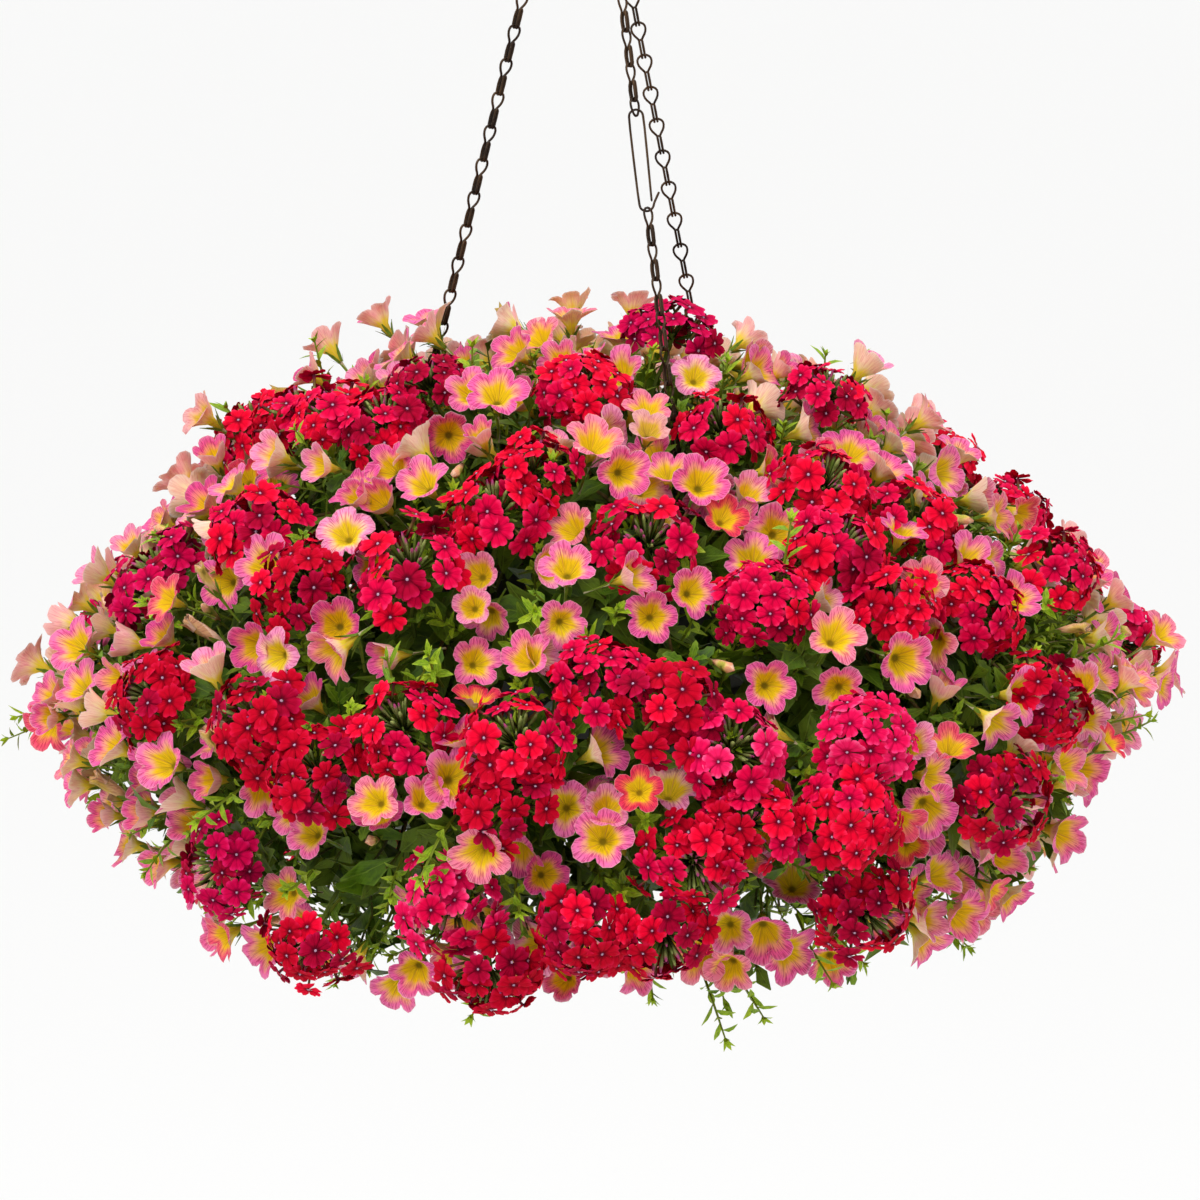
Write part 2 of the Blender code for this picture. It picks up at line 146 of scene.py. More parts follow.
def ringBody(name, sides, rings):
    radius, height = rings[0]
    bpy.ops.mesh.primitive_circle_add(vertices=sides, radius=radius, fill_type="NGON")
    body = bpy.context.object
    body.name = name
    startEditing(body)
    bpy.ops.transform.translate(value=(0, 0, height))
    for (r0, z0), (r1, z1) in zip(rings, rings[1:]):
        bpy.ops.mesh.extrude_region_move(TRANSFORM_OT_translate={"value": (0, 0, z1 - z0)})
        bpy.ops.transform.resize(value=(r1 / r0, r1 / r0, 1), center_override=(0, 0, z1))
    stopEditing()
    return body


# An atlas has this many cells each way, and its pattern fills this share of each of them
cellsAcross = 4
cellMargin = 0.94


def toCell(cell, x, y):
    # x and y from -1 to 1 in the cell
    column, row = cell % cellsAcross, cell // cellsAcross
    u = (column + 0.5 + 0.5 * cellMargin * x) / cellsAcross
    v = (row + 0.5 + 0.5 * cellMargin * y) / cellsAcross
    return u, v


def cellOf(spot):
    return int(spot.x * cellsAcross) + cellsAcross * int(spot.y * cellsAcross)


def mapFaces(body, place):
    # place(face, vertex index) gives the cell and the spot in it
    layer = body.data.uv_layers[0] if body.data.uv_layers else body.data.uv_layers.new()
    layer.name = "OFBake"
    for face in body.data.polygons:
        for loop in face.loop_indices:
            layer.data[loop].uv = toCell(*place(face, body.data.loops[loop].vertex_index))


def mapTube(body, sides, cell):
    # round the tube across the cell, and from its first ring to its last one up it
    last = len(body.data.vertices) // sides - 1
    disc = 0.06

    def place(face, index):
        ring, column = divmod(index, sides)
        level = ring / last * 2 - 1
        if column == 0 and max(v % sides for v in face.vertices) == sides - 1:
            column = sides
        if len({v // sides for v in face.vertices}) == 1:
            # the faces at its ends are small discs
            turn = math.tau * column / sides
            return cell, disc * math.cos(turn), level * (1 - disc) + disc * math.sin(turn)
        return cell, column / sides * 2 - 1, level

    mapFaces(body, place)


def recell(body, change):
    # moves faces from cells to others, as change says
    for spot in body.data.uv_layers["OFBake"].data:
        if cellOf(spot.uv) in change:
            row, column = divmod(change[cellOf(spot.uv)], cellsAcross)
            u, v = spot.uv * cellsAcross
            spot.uv = ((u % 1 + column) / cellsAcross, (v % 1 + row) / cellsAcross)


def bendAlong(body, path, thickness):
    # a tube that stands from 0 to 1 along Z follows the path, as thick as thickness says
    for vertex in body.data.vertices:
        t = min(max(vertex.co.z, 0.0), 1.0)
        here = path(t)
        along = (path(min(t + 0.01, 1.0)) - path(max(t - 0.01, 0.0))).normalized()
        side = along.cross(Vector((0.31, 0.17, 0.93))).normalized()
        vertex.co = here + (side * vertex.co.x + along.cross(side) * vertex.co.y) * thickness(t)


def curvedPath(a, b, c, d):
    def path(t):
        s = 1 - t
        return a * s ** 3 + b * 3 * s * s * t + c * 3 * s * t * t + d * t ** 3
    return path


# Nodes of the materials

def paint(code):
    # a colour given as red, green and blue in hexadecimal
    parts = [int(code[i:i + 2], 16) / 255 for i in (0, 2, 4)]
    linear = [c / 12.92 if c < 0.04045 else ((c + 0.055) / 1.055) ** 2.4 for c in parts]
    return (*linear, 1)


def addNode(tree, kind, **settings):
    node = tree.nodes.new("ShaderNode" + kind)
    for key, value in settings.items():
        setattr(node, key, value)
    return node


def feed(tree, node, socket, value):
    if isinstance(value, bpy.types.NodeSocket):
        tree.links.new(value, node.inputs[socket])
    else:
        node.inputs[socket].default_value = value


def sums(tree, operation, *values):
    node = addNode(tree, "Math", operation=operation)
    for i, value in enumerate(values):
        feed(tree, node, i, value)
    return node.outputs[0]


def times(tree, first, second):
    return sums(tree, "MULTIPLY", first, second)


def ranged(tree, value, low, high, first, last, way="LINEAR"):
    # first under low to last over high
    node = addNode(tree, "MapRange", interpolation_type=way)
    for socket, entry in enumerate((value, low, high, first, last)):
        feed(tree, node, socket, entry)
    return node.outputs[0]


def smooth(tree, value, low, high):
    return ranged(tree, value, low, high, 0.0, 1.0, "SMOOTHSTEP")


def mixed(tree, share, first, second, way="MIX"):
    node = addNode(tree, "Mix", data_type="RGBA", blend_type=way)
    for socket, value in ((0, share), (6, first), (7, second)):
        feed(tree, node, socket, value)
    return node.outputs[2]


def patches(tree, vector, scale, detail=2.0, rough=0.5):
    node = addNode(tree, "TexNoise")
    feed(tree, node, "Vector", vector)
    for socket, value in (("Scale", scale), ("Detail", detail), ("Roughness", rough)):
        feed(tree, node, socket, value)
    return node.outputs["Fac"]


def makeGroup(name, inputs, outputs):
    tree = bpy.data.node_groups.new(name, "ShaderNodeTree")
    for socket, kind in inputs:
        tree.interface.new_socket(name=socket, in_out="INPUT", socket_type="NodeSocket" + kind)
    for socket, kind in outputs:
        tree.interface.new_socket(name=socket, in_out="OUTPUT", socket_type="NodeSocket" + kind)
    return tree, tree.nodes.new("NodeGroupOutput")


def useGroup(tree, group, **values):
    node = tree.nodes.new("ShaderNodeGroup")
    node.node_tree = group
    for key, value in values.items():
        feed(tree, node, key, value)
    return node.outputs


def newMaterial(name, **settings):
    material = bpy.data.materials.new(name)
    material.use_nodes = True
    shader = material.node_tree.nodes["Principled BSDF"]
    for key, value in settings.items():
        shader.inputs[key.replace("_", " ")].default_value = value
    return material, material.node_tree, shader


def bump(tree, shader, height, distance, strength=1.0):
    node = addNode(tree, "Bump")
    feed(tree, node, "Height", height)
    node.inputs["Distance"].default_value = distance
    node.inputs["Strength"].default_value = strength
    feed(tree, shader, "Normal", node.outputs[0])


def makeAtlasGroup():
    # which cell of the atlas a point is in, and where it lies in it
    tree, out = makeGroup("atlasPlace", [], [
        ("Cell", "Float"), ("Radius", "Float"), ("Across", "Float"), ("Along", "Float"),
        ("FromPetal", "Float"), ("Streak", "Vector")])
    uv = addNode(tree, "UVMap", uv_map="OFBake")
    grown = addNode(tree, "VectorMath", operation="SCALE")
    feed(tree, grown, 0, uv.outputs[0])
    grown.inputs["Scale"].default_value = cellsAcross
    split = addNode(tree, "SeparateXYZ")
    feed(tree, split, 0, grown.outputs[0])
    u, v = split.outputs[0], split.outputs[1]
    cell = sums(tree, "ADD", sums(tree, "FLOOR", u), times(tree, sums(tree, "FLOOR", v), cellsAcross))
    half = 2 / cellMargin
    x = times(tree, sums(tree, "SUBTRACT", sums(tree, "FRACT", u), 0.5), half)
    y = times(tree, sums(tree, "SUBTRACT", sums(tree, "FRACT", v), 0.5), half)
    radius = sums(tree, "SQRT", sums(tree, "ADD", times(tree, x, x), times(tree, y, y)))
    turn = times(tree, sums(tree, "ARCTAN2", y, x), 5 / math.tau)
    # 0 along the middle of each of five petals, 1 half way to the next
    offPetal = sums(tree, "SUBTRACT", 1.0, sums(tree, "ABSOLUTE", sums(
        tree, "SUBTRACT", times(tree, sums(tree, "FRACT", turn), 2.0), 1.0)))
    ray = addNode(tree, "CombineXYZ")
    feed(tree, ray, 0, sums(tree, "DIVIDE", x, sums(tree, "MAXIMUM", radius, 0.02)))
    feed(tree, ray, 1, sums(tree, "DIVIDE", y, sums(tree, "MAXIMUM", radius, 0.02)))
    feed(tree, ray, 2, sums(tree, "ADD", times(tree, radius, 0.13), times(tree, cell, 3.7)))
    for i, socket in enumerate((cell, radius, x, y, offPetal, ray.outputs[0])):
        tree.links.new(socket, out.inputs[i])
    return tree


def makeVeinGroup():
    # lines that run out from a bloom's middle, and a radius that wavers with them
    tree, out = makeGroup("petalVeins",
                          [("Streak", "Vector"), ("Radius", "Float"), ("Scale", "Float"), ("Sway", "Float")],
                          [("Veins", "Float"), ("Wavering", "Float")])
    given = tree.nodes.new("NodeGroupInput").outputs
    veins = patches(tree, given["Streak"], given["Scale"])
    sway = times(tree, sums(tree, "SUBTRACT", veins, 0.5), given["Sway"])
    tree.links.new(veins, out.inputs[0])
    tree.links.new(sums(tree, "ADD", given["Radius"], sway), out.inputs[1])
    return tree


def makeGrainGroup():
    # broad patches and a fine grain through a hard surface
    tree, out = makeGroup("surfaceGrain", [("PatchScale", "Float"), ("GrainScale", "Float")],
                          [("Patches", "Float"), ("Grain", "Float")])
    given = tree.nodes.new("NodeGroupInput").outputs
    where = addNode(tree, "TexCoord").outputs["Object"]
    for i, socket in enumerate(("PatchScale", "GrainScale")):
        tree.links.new(patches(tree, where, given[socket], 3.0, 0.5 + 0.15 * i), out.inputs[i])
    return tree


atlasPlace = makeAtlasGroup()
petalVeins = makeVeinGroup()
surfaceGrain = makeGrainGroup()


def cellColours(tree, cell, cells):
    # for each colour that the cells have, a node that puts out that colour of the cell it is fed
    count = cellsAcross * cellsAcross
    for part in range(1, len(next(iter(cells.values())))):
        node = addNode(tree, "ValToRGB")
        ramp = node.color_ramp
        ramp.interpolation = "CONSTANT"
        while len(ramp.elements) < len(cells):
            ramp.elements.new(0.5)
        for element, row in zip(ramp.elements, cells.values()):
            element.position = row[0] / count
        for element, row in zip(ramp.elements, cells.values()):
            element.color = paint(row[part])
        feed(tree, node, 0, sums(tree, "DIVIDE", sums(tree, "ADD", cell, 0.5), float(count)))
        yield node.outputs[0]


# Cells of the calibrachoa atlas: number, colours from the throat to the margin, and the veins' colour
trumpetCells = {
    "orchid": (0, "7E6C0A", "E4BC0C", "F2A484", "E65898", "9A0E4C"),
    "rose": (1, "84720A", "E8C212", "F4AC88", "EC68A0", "A81C58"),
    "blush": (2, "8C780E", "EEC81C", "F8C29C", "F28CB4", "BC3468"),
    "magenta": (3, "72600A", "DEB00A", "E88676", "D84486", "860844"),
    "golden": (4, "88700A", "E8C00C", "F4B068", "EE7A94", "AE264E"),
    "coral": (5, "86700A", "EABC0E", "F08668", "E64A6A", "A81238"),
    "starRed": (6, "8E720A", "EAC012", "EA6C4A", "DA2C4C", "96062C"),
    "faded": (7, "6A5C16", "DCB83A", "E8B090", "DC9898", "B86868"),
    # the backs' cells hold the outsides' own pale colours, made lighter to make up for the shade under the
    # blooms: partly painted light
    "backCream": (8, "C8B430", "F6D83E", "FDE2AC", "FDD0B8", "EEA694"),
    "backPink": (9, "C4AE2C", "F0CE34", "FBD2A6", "F8B4B0", "E2868E"),
    "backGold": (10, "C0AC2A", "F0CE30", "FCD890", "F8BE9E", "E29080"),
    "withered": (11, "8C7A30", "C8A450", "D6B27C", "CC9A70", "A05846"),
    "bud": (12, "7C9030", "CCC050", "ECCC7C", "F2B48A", "DC846C"),
    "sepal": (13, "5E781E", "728C24", "7A942C", "687F20", "546E1A"),
}

trumpet = {
    "columns": 30,        # six to each lobe, the first of them at a notch
    "base": (0.0012, 0.0),
    "waist": (0.0028, 0.0076),
    "mouth": (0.0060, 0.0124),
    "throat": (0.0019, 0.0068),
    "reach": 0.0098,      # of a lobe from the tube's mouth to its tip
    "half": 0.52,         # where a lobe bends, along its reach
    # from a notch to a lobe's middle: share of the way round to it, and how much of the notch is left there
    "outline": ((0.0, 1.0), (0.20, 0.52), (0.54, 0.14), (1.0, 0.0)),
    "thickness": 0.00045,
}


def makeTrumpetMaterial():
    material, tree, shader = newMaterial("calibrachoaPetal", Roughness=0.6, Specular_IOR_Level=0.14,
                                          Subsurface_Weight=0.3, Subsurface_Scale=0.002)
    shader.inputs["Subsurface Radius"].default_value = (1.0, 0.7, 0.5)
    place = useGroup(tree, atlasPlace)
    cell, radius, off, streak = place["Cell"], place["Radius"], place["FromPetal"], place["Streak"]
    throat, heart, middle, margin, vein = cellColours(tree, cell, trumpetCells)
    broad = useGroup(tree, petalVeins, Streak=streak, Radius=radius, Scale=3.0, Sway=0.26)
    narrow = useGroup(tree, petalVeins, Streak=streak, Radius=broad["Wavering"], Scale=24.0, Sway=0.10)
    fine = narrow["Veins"]
    shifted = sums(tree, "ADD", narrow["Wavering"], times(tree, off, 0.12))
    colour = mixed(tree, smooth(tree, shifted, 0.44, 0.66), heart, middle)
    colour = mixed(tree, smooth(tree, shifted, 0.60, 0.86), colour, margin)
    # dark lines run out of the throat, and finer ones branch through the margin
    lines = times(tree, smooth(tree, fine, 0.49, 0.59), smooth(tree, radius, 0.36, 0.66))
    colour = mixed(tree, times(tree, lines, 0.66), colour, vein)
    rib = times(tree, smooth(tree, off, 0.10, 0.02), smooth(tree, radius, 0.96, 0.55))
    colour = mixed(tree, times(tree, rib, 0.40), colour, vein)
    rays = times(tree, smooth(tree, fine, 0.44, 0.60), smooth(tree, radius, 0.58, 0.18))
    colour = mixed(tree, times(tree, rays, 0.66), colour, throat)
    colour = mixed(tree, smooth(tree, radius, 0.20, 0.07), colour, throat)
    # a pale rim along the lobes' edge: partly the petals' own pale margin, partly painted highlight
    edge = times(tree, smooth(tree, radius, 0.965, 0.995), 0.40)
    colour = mixed(tree, edge, colour, paint("FADCC8"))
    feed(tree, shader, "Base Color", colour)
    bump(tree, shader, fine, 0.0006, 0.7)
    return material


def lobeColumn(column, along):
    # the way round, in degrees, of a column this far along its lobe, with its share of the way from the notch
    # to the lobe's middle and the notch's share left there
    lobe, step = divmod(column, 6)
    near = min(step, 6 - step)
    way, cut = trumpet["outline"][near]
    way = near / 3 + (way - near / 3) * along
    return 72 * lobe + (1 - way) * (-36 if step < 3 else 36), way, cut


def narrowed(ring, column):
    # the tube and the throat have one column where the lobes have three
    return 3 * round(column / 3) % trumpet["columns"] if ring in (0, 1, 7) else column


def makeTrumpet(name, front, back, flare, tip, size=1.0, notch=0.45, cup=0.2, uneven=10):
    # flare and tip are the angles of the lobes above flat, beside the tube and at their ends
    sides, reach, half = trumpet["columns"], trumpet["reach"], trumpet["half"]
    tube = {0: trumpet["base"], 1: trumpet["waist"], 7: trumpet["throat"]}
    body = ringBody(name, sides, [(0.001 + 0.001 * i, 0.001 * i) for i in range(8)])
    mapTrumpet(body, front, back)
    lobes = [{"tilt": dice.uniform(-uneven, uneven), "curl": dice.uniform(-1.5, 1.0) * uneven,
              "grow": dice.uniform(-0.10, 0.08), "cup": cup * dice.uniform(-0.4, 1.4),
              "twist": dice.uniform(-0.26, 0.26), "keel": dice.uniform(-0.02, 0.07)} for _ in range(5)]
    for index, vertex in enumerate(body.data.vertices):
        ring, column = divmod(index, sides)
        if ring in tube:
            turn = lobeColumn(narrowed(ring, column), 0)[0]
            r, z = tube[ring]
        else:
            lobe = lobes[column // 6]
            share = (0, half, 1, half, 0)[ring - 2]
            turn, way, cut = lobeColumn(column, share)
            along = share * (1 - notch * cut) * (1 + lobe["grow"] * way)
            first = math.radians(flare + lobe["tilt"] * way)
            last = math.radians(tip + (lobe["tilt"] + lobe["curl"]) * way)
            near, far = min(along, half), max(along - half, 0)
            r = trumpet["mouth"][0] + reach * (near * math.cos(first) + far * math.cos(last))
            z = trumpet["mouth"][1] + reach * (near * math.sin(first) + far * math.sin(last))
            side = (1 - way) * (-1 if column % 6 < 3 else 1)
            z += reach * along * (lobe["cup"] * abs(side) ** 1.5 * along + lobe["twist"] * side)
            z += reach * along * lobe["keel"] * (abs(side) < 0.1)
            if ring < 4:
                r += trumpet["thickness"] * math.sin(first)
                z -= trumpet["thickness"] * math.cos(first)
        vertex.co = around(turn) * r + Vector((0, 0, z))
    body.data.transform(Matrix.Scale(size, 4))
    startEditing(body)
    bpy.ops.mesh.remove_doubles(threshold=0.00002)
    bpy.ops.mesh.normals_make_consistent(inside=False)
    # both sides of a lobe are cut along the same diagonals, so that they never cross
    bpy.ops.mesh.quads_convert_to_tris(quad_method="SHORTEST_DIAGONAL", ngon_method="BEAUTY")
    stopEditing()
    bpy.ops.object.shade_smooth_by_angle(angle=math.radians(70))
    return body


def mapTrumpet(body, front, back):
    # the pattern runs from the throat or the stalk at its middle to the lobes' edge at its rim
    sides = trumpet["columns"]
    backReach = (0.06, 0.34, 0.58, 0.79, 1.0)
    frontReach = (1.0, 0.70, 0.42, 0.15)
    rim = len(backReach) - 1
    cells = trumpetCells[front][0], trumpetCells[back][0]

    def place(face, index):
        ring, column = divmod(index, sides)
        isFront = min(v // sides for v in face.vertices) >= rim
        reach = frontReach[ring - rim] if isFront else backReach[ring]
        share = (0, 0, 0, 0.5, 1, 0.5, 0, 0)[ring]
        turn = math.radians(lobeColumn(narrowed(ring, column), share)[0])
        return cells[0 if isFront else 1], reach * math.cos(turn), reach * math.sin(turn)

    mapFaces(body, place)


def makeSepals():
    # five narrow green sepals that hold the tube, and the stalk under them
    bpy.ops.mesh.primitive_grid_add(x_subdivisions=1, y_subdivisions=2, size=2)
    sepal = bpy.context.object
    cell = trumpetCells["sepal"][0]
    corners = sepal.data.vertices
    mapFaces(sepal, lambda face, i: (cell, corners[i].co.x * 0.5, corners[i].co.y * 0.9))
    spots = {-1: (0.0008, 0.0013, -0.0004), 0: (0.0011, 0.0034, 0.0040), 1: (0.0003, 0.0064, 0.0082)}
    for vertex in sepal.data.vertices:
        half, out, up = spots[round(vertex.co.y)]
        vertex.co = (math.copysign(half, -vertex.co.x), out, up)
    parts = [copyOf(sepal, Matrix.Rotation(math.tau * i / 5 + 0.3, 4, "Z")) for i in range(5)]
    stalk = ringBody("stalk", 3, [(0.0006, -0.019), (0.0008, -0.008), (0.0013, 0.0006)])
    mapTube(stalk, 3, cell)
    putAway([sepal])
    return joined("sepals", parts + [stalk])


def makeTrumpets(material):
    sepals = makeSepals()
    kinds = {}
    plans = {
        # name: front cell, back cell, flare, tip, size, notch, cup, unevenness
        "wideOrchid": ("orchid", "backPink", 38, 12, 1.04, 0.50, 0.20, 17),
        "wideRose": ("rose", "backCream", 32, 4, 1.0, 0.56, 0.26, 18),
        "wideBlush": ("blush", "backCream", 34, -4, 1.06, 0.46, 0.16, 16),
        "wideGolden": ("golden", "backGold", 40, 14, 1.0, 0.58, 0.26, 17),
        "cupOrchid": ("orchid", "backCream", 50, 26, 1.06, 0.50, 0.24, 19),
        "cupMagenta": ("magenta", "backPink", 48, 20, 1.02, 0.56, 0.30, 20),
        "cupRose": ("rose", "backPink", 56, 32, 1.06, 0.52, 0.20, 18),
        "flatCoral": ("coral", "backGold", 32, 8, 0.94, 0.62, 0.30, 18),
        "openRose": ("rose", "backCream", 44, 18, 1.06, 0.58, 0.30, 20),
        "openGolden": ("golden", "backPink", 46, 10, 1.02, 0.52, 0.22, 19),
        "youngCream": ("blush", "backCream", 64, 44, 1.0, 0.42, 0.14, 12),
        "youngPink": ("orchid", "backPink", 70, 54, 0.94, 0.44, 0.14, 12),
        "starRed": ("starRed", "backCream", 38, 14, 0.84, 0.66, 0.44, 18),
        "faded": ("faded", "backGold", 56, 30, 0.90, 0.52, -0.30, 26),
    }
    for name, plan in plans.items():
        body = makeTrumpet(name, *plan)
        kinds[name] = joined(name, [body, copyOf(sepals, Matrix.Identity(4))])
    kinds["bud"] = joined("bud", [makeBud(), copyOf(sepals, Matrix.Scale(0.85, 4))])
    kinds["spent"] = joined("spent", [makeSpent(), copyOf(sepals, Matrix.Identity(4))])
    putAway([sepals])
    return {name: coated(kind, material) for name, kind in kinds.items()}


def makeBud():
    # a rolled bud, pointed at its tip
    rings = [(0.0012, 0.0), (0.0022, 0.006), (0.0027, 0.0115), (0.0030, 0.0145), (0.0008, 0.0178)]
    body = ringBody("budBody", 8, rings)
    mapTube(body, 8, trumpetCells["bud"][0])
    for index, vertex in enumerate(body.data.vertices):
        ring, column = divmod(index, 8)
        vertex.co *= 1 if ring < 2 or column % 2 else 0.88
    return smoothed(body)


def makeSpent():
    # a bloom that has shrivelled: a crumpled tube with a frayed mouth
    rings = [(0.0012, 0.0), (0.0026, 0.007), (0.0036, 0.013), (0.0032, 0.018), (0.0046, 0.0215),
             (0.0022, 0.0205), (0.0014, 0.015)]
    body = ringBody("spentBody", 10, rings)
    mapTube(body, 10, trumpetCells["withered"][0])
    for index, vertex in enumerate(body.data.vertices):
        ring, column = divmod(index, 10)
        squeeze = 1 - 0.42 * (column % 2) * (ring > 1)
        vertex.co.x *= squeeze * 0.75
        vertex.co.y *= squeeze
        vertex.co.x += 0.0016 * (ring / 4) ** 2
        if ring == 4:
            vertex.co.z += 0.0016 * math.sin(column * 2.4)
    return smoothed(body)


# Cells of the verbena atlas: number, colours beside the eye, on the petal and at its rim
floretCells = {
    # scarlet, crimson and magenta each have a darker copy in the cell after them: painted shade, given to the
    # lower florets and to heads low on the mound
    "scarlet": (0, "92001A", "E0022C", "F0244E"),
    "scarletShaded": (1, "7A0012", "B60020", "CC103A"),
    "crimson": (2, "860026", "D0003C", "E62A60"),
    "crimsonShaded": (3, "640018", "9E002A", "BA1046"),
    "magenta": (4, "82002E", "C00042", "D41C62"),
    "magentaShaded": (5, "640020", "980034", "B01250"),
    "hotPink": (6, "A80034", "DE0A4E", "F23C7A"),
    "hotPinkLight": (7, "B4063C", "E61A5A", "F65C8E"),
    "tube": (8, "46441E", "7C6438", "A8445C"),
    "bud": (9, "48541E", "80844A", "B04478"),
    "budGreen": (10, "485A20", "748040", "98A05C"),
    "stalk": (11, "44541E", "586826", "60742C"),
    "sepal": (12, "3E5018", "586A24", "708038"),
}

floret = {
    "radius": 0.0097,
    "tubeLength": 0.012,
    "overlap": 9.0,        # each petal is turned this many degrees, one edge over its neighbour
}


def makeFloretMaterial():
    material, tree, shader = newMaterial("verbenaPetal", Roughness=0.75, Specular_IOR_Level=0.05)
    place = useGroup(tree, atlasPlace)
    cell, radius, off, streak = place["Cell"], place["Radius"], place["FromPetal"], place["Streak"]
    inner, middle, rim = cellColours(tree, cell, floretCells)
    veins = useGroup(tree, petalVeins, Streak=streak, Radius=radius, Scale=7.0, Sway=0.30)
    fine, shifted = veins["Veins"], veins["Wavering"]
    # darker beside the eye and lighter at the rim: partly the petals' own colour, partly painted shade in the
    # floret's hollow and painted sheen on its rim
    petal = mixed(tree, smooth(tree, shifted, 0.16, 0.42), inner, middle)
    petal = mixed(tree, smooth(tree, shifted, 0.66, 1.02), petal, rim)
    # painted shade: the petal is darker along its middle fold, most towards the eye
    creaseShade = times(tree, smooth(tree, off, 0.16, 0.02), smooth(tree, radius, 0.95, 0.4))
    petal = mixed(tree, times(tree, creaseShade, 0.28), petal, inner)
    # painted shade where the petals meet and overlap, towards the eye
    betweenShade = times(tree, smooth(tree, off, 0.62, 0.98), smooth(tree, radius, 0.95, 0.55))
    petal = mixed(tree, times(tree, betweenShade, 0.5), petal, inner)
    petal = mixed(tree, times(tree, smooth(tree, radius, 0.20, 0.10), 0.6), petal, paint("5E0430"))
    petal = mixed(tree, smooth(tree, radius, 0.08, 0.05), petal, paint("DCB4D0"))
    # the cells after the petals' hold buds, tubes and stalks, coloured from end to end
    lastPetal = floretCells["hotPinkLight"][0]
    share = sums(tree, "ADD", times(tree, place["Along"], 0.5), 0.5)
    straight = mixed(tree, smooth(tree, share, 0.10, 0.50), inner, middle)
    straight = mixed(tree, smooth(tree, share, 0.62, 0.90), straight, rim)
    colour = mixed(tree, sums(tree, "GREATER_THAN", cell, lastPetal + 0.5), petal, straight)
    feed(tree, shader, "Base Color", colour)
    bump(tree, shader, fine, 0.0010, 0.8)
    return material


def makeFloret(cell):
    # five notched petals round a pale eye, on a slim tube
    bpy.ops.mesh.primitive_grid_add(x_subdivisions=6, y_subdivisions=2, size=2)
    petal = bpy.context.object
    # for the base, the middle and the rim, from the petal's edge to its crease: (half width, distance, rise)
    rows = {
        -1: ((0.0009, 0.0009, 0.0), (0.0006, 0.0009, 0.0), (0.0003, 0.0009, 0.0), (0.0, 0.0009, 0.0)),
        0: ((0.0037, 0.0048, -0.0002), (0.0027, 0.0054, 0.0009), (0.0014, 0.0057, 0.0010),
            (0.0, 0.0056, 0.0003)),
        1: ((0.0041, 0.0070, -0.0005), (0.0035, 0.0085, 0.0002), (0.0018, 0.0091, 0.0006),
            (0.0, 0.0082, 0.0)),
    }
    for vertex in petal.data.vertices:
        half, out, rise = rows[round(vertex.co.y)][3 - round(abs(vertex.co.x) * 3)]
        vertex.co = (math.copysign(half, vertex.co.x), out, rise)
    parts = []
    for i in range(5):
        # each petal is turned and tilted a little on its own
        tilt = Matrix.Rotation(math.radians(dice.uniform(-15, 9)), 4, "X")
        twist = Matrix.Rotation(math.radians(floret["overlap"] + dice.uniform(-7, 7)), 4, "Y")
        spin = Matrix.Rotation(math.tau * i / 5 + math.radians(dice.uniform(-4, 4)), 4, "Z")
        one = copyOf(petal, spin @ tilt @ twist @ Matrix.Scale(dice.uniform(0.92, 1.03), 4))
        turn = math.tau * i / 5

        def place(face, index, turn=turn):
            x, y = petal.data.vertices[index].co.xy / floret["radius"]
            # a petal's middle lies along X in the cell
            return cell, y * math.cos(turn) - x * math.sin(turn), y * math.sin(turn) + x * math.cos(turn)

        mapFaces(one, place)
        parts.append(one)
    bpy.ops.mesh.primitive_cone_add(vertices=5, radius1=0.0011, radius2=0, depth=0.0011,
                                    end_fill_type="NOTHING", location=(0, 0, 0.0003))
    eye = bpy.context.object
    eye.data.transform(Matrix.Translation(eye.location))
    eye.location = (0, 0, 0)
    mapFaces(eye, lambda face, i: (cell, *(eye.data.vertices[i].co.xy / floret["radius"])))
    tube = ringBody("tube", 3, [(0.0009, -floret["tubeLength"]), (0.0010, 0.0)])
    mapTube(tube, 3, floretCells["tube"][0])
    putAway([petal])
    whole = joined("floret", parts + [eye, tube])
    return smoothed(whole)


clusterShape = {
    "radius": 0.0250,      # of the dome, from where the tubes meet
    "root": 0.0165,        # depth of that point under the head's middle
    "flattening": 0.86,
    "florets": 25,
    "lowest": 96.0,        # angle from the top of the last florets, in degrees
    "lookUp": 0.22,        # how much the florets turn up
    "tilts": (2, 26),
    "sizes": (0.84, 1.06),
    "buds": 0.75,          # for each degree of the open top
    "budSpread": 24,       # degrees that the buds reach past the open top
    "budSizes": (0.85, 1.25),
    "greenBuds": 0.45,     # share of them
    "oldSepals": 12,
    "stalk": 0.052,        # from the head's middle down
}


def domeSpots(count, first, last):
    # even directions over a dome between two angles from its top
    top, foot = math.cos(math.radians(first)), math.cos(math.radians(last))
    for i in range(count):
        level = top + (foot - top) * (i + 0.5) / count
        turn = i * math.radians(goldenAngle) + dice.uniform(-0.15, 0.15)
        flat = math.sqrt(1 - level * level)
        yield Vector((flat * math.cos(turn), flat * math.sin(turn), level))


def makeClusterBud():
    bud = ringBody("clusterBud", 3, [(0.0005, 0.0), (0.0007, 0.007), (0.0012, 0.0115), (0.0004, 0.0145)])
    mapTube(bud, 3, floretCells["bud"][0])
    return smoothed(bud)


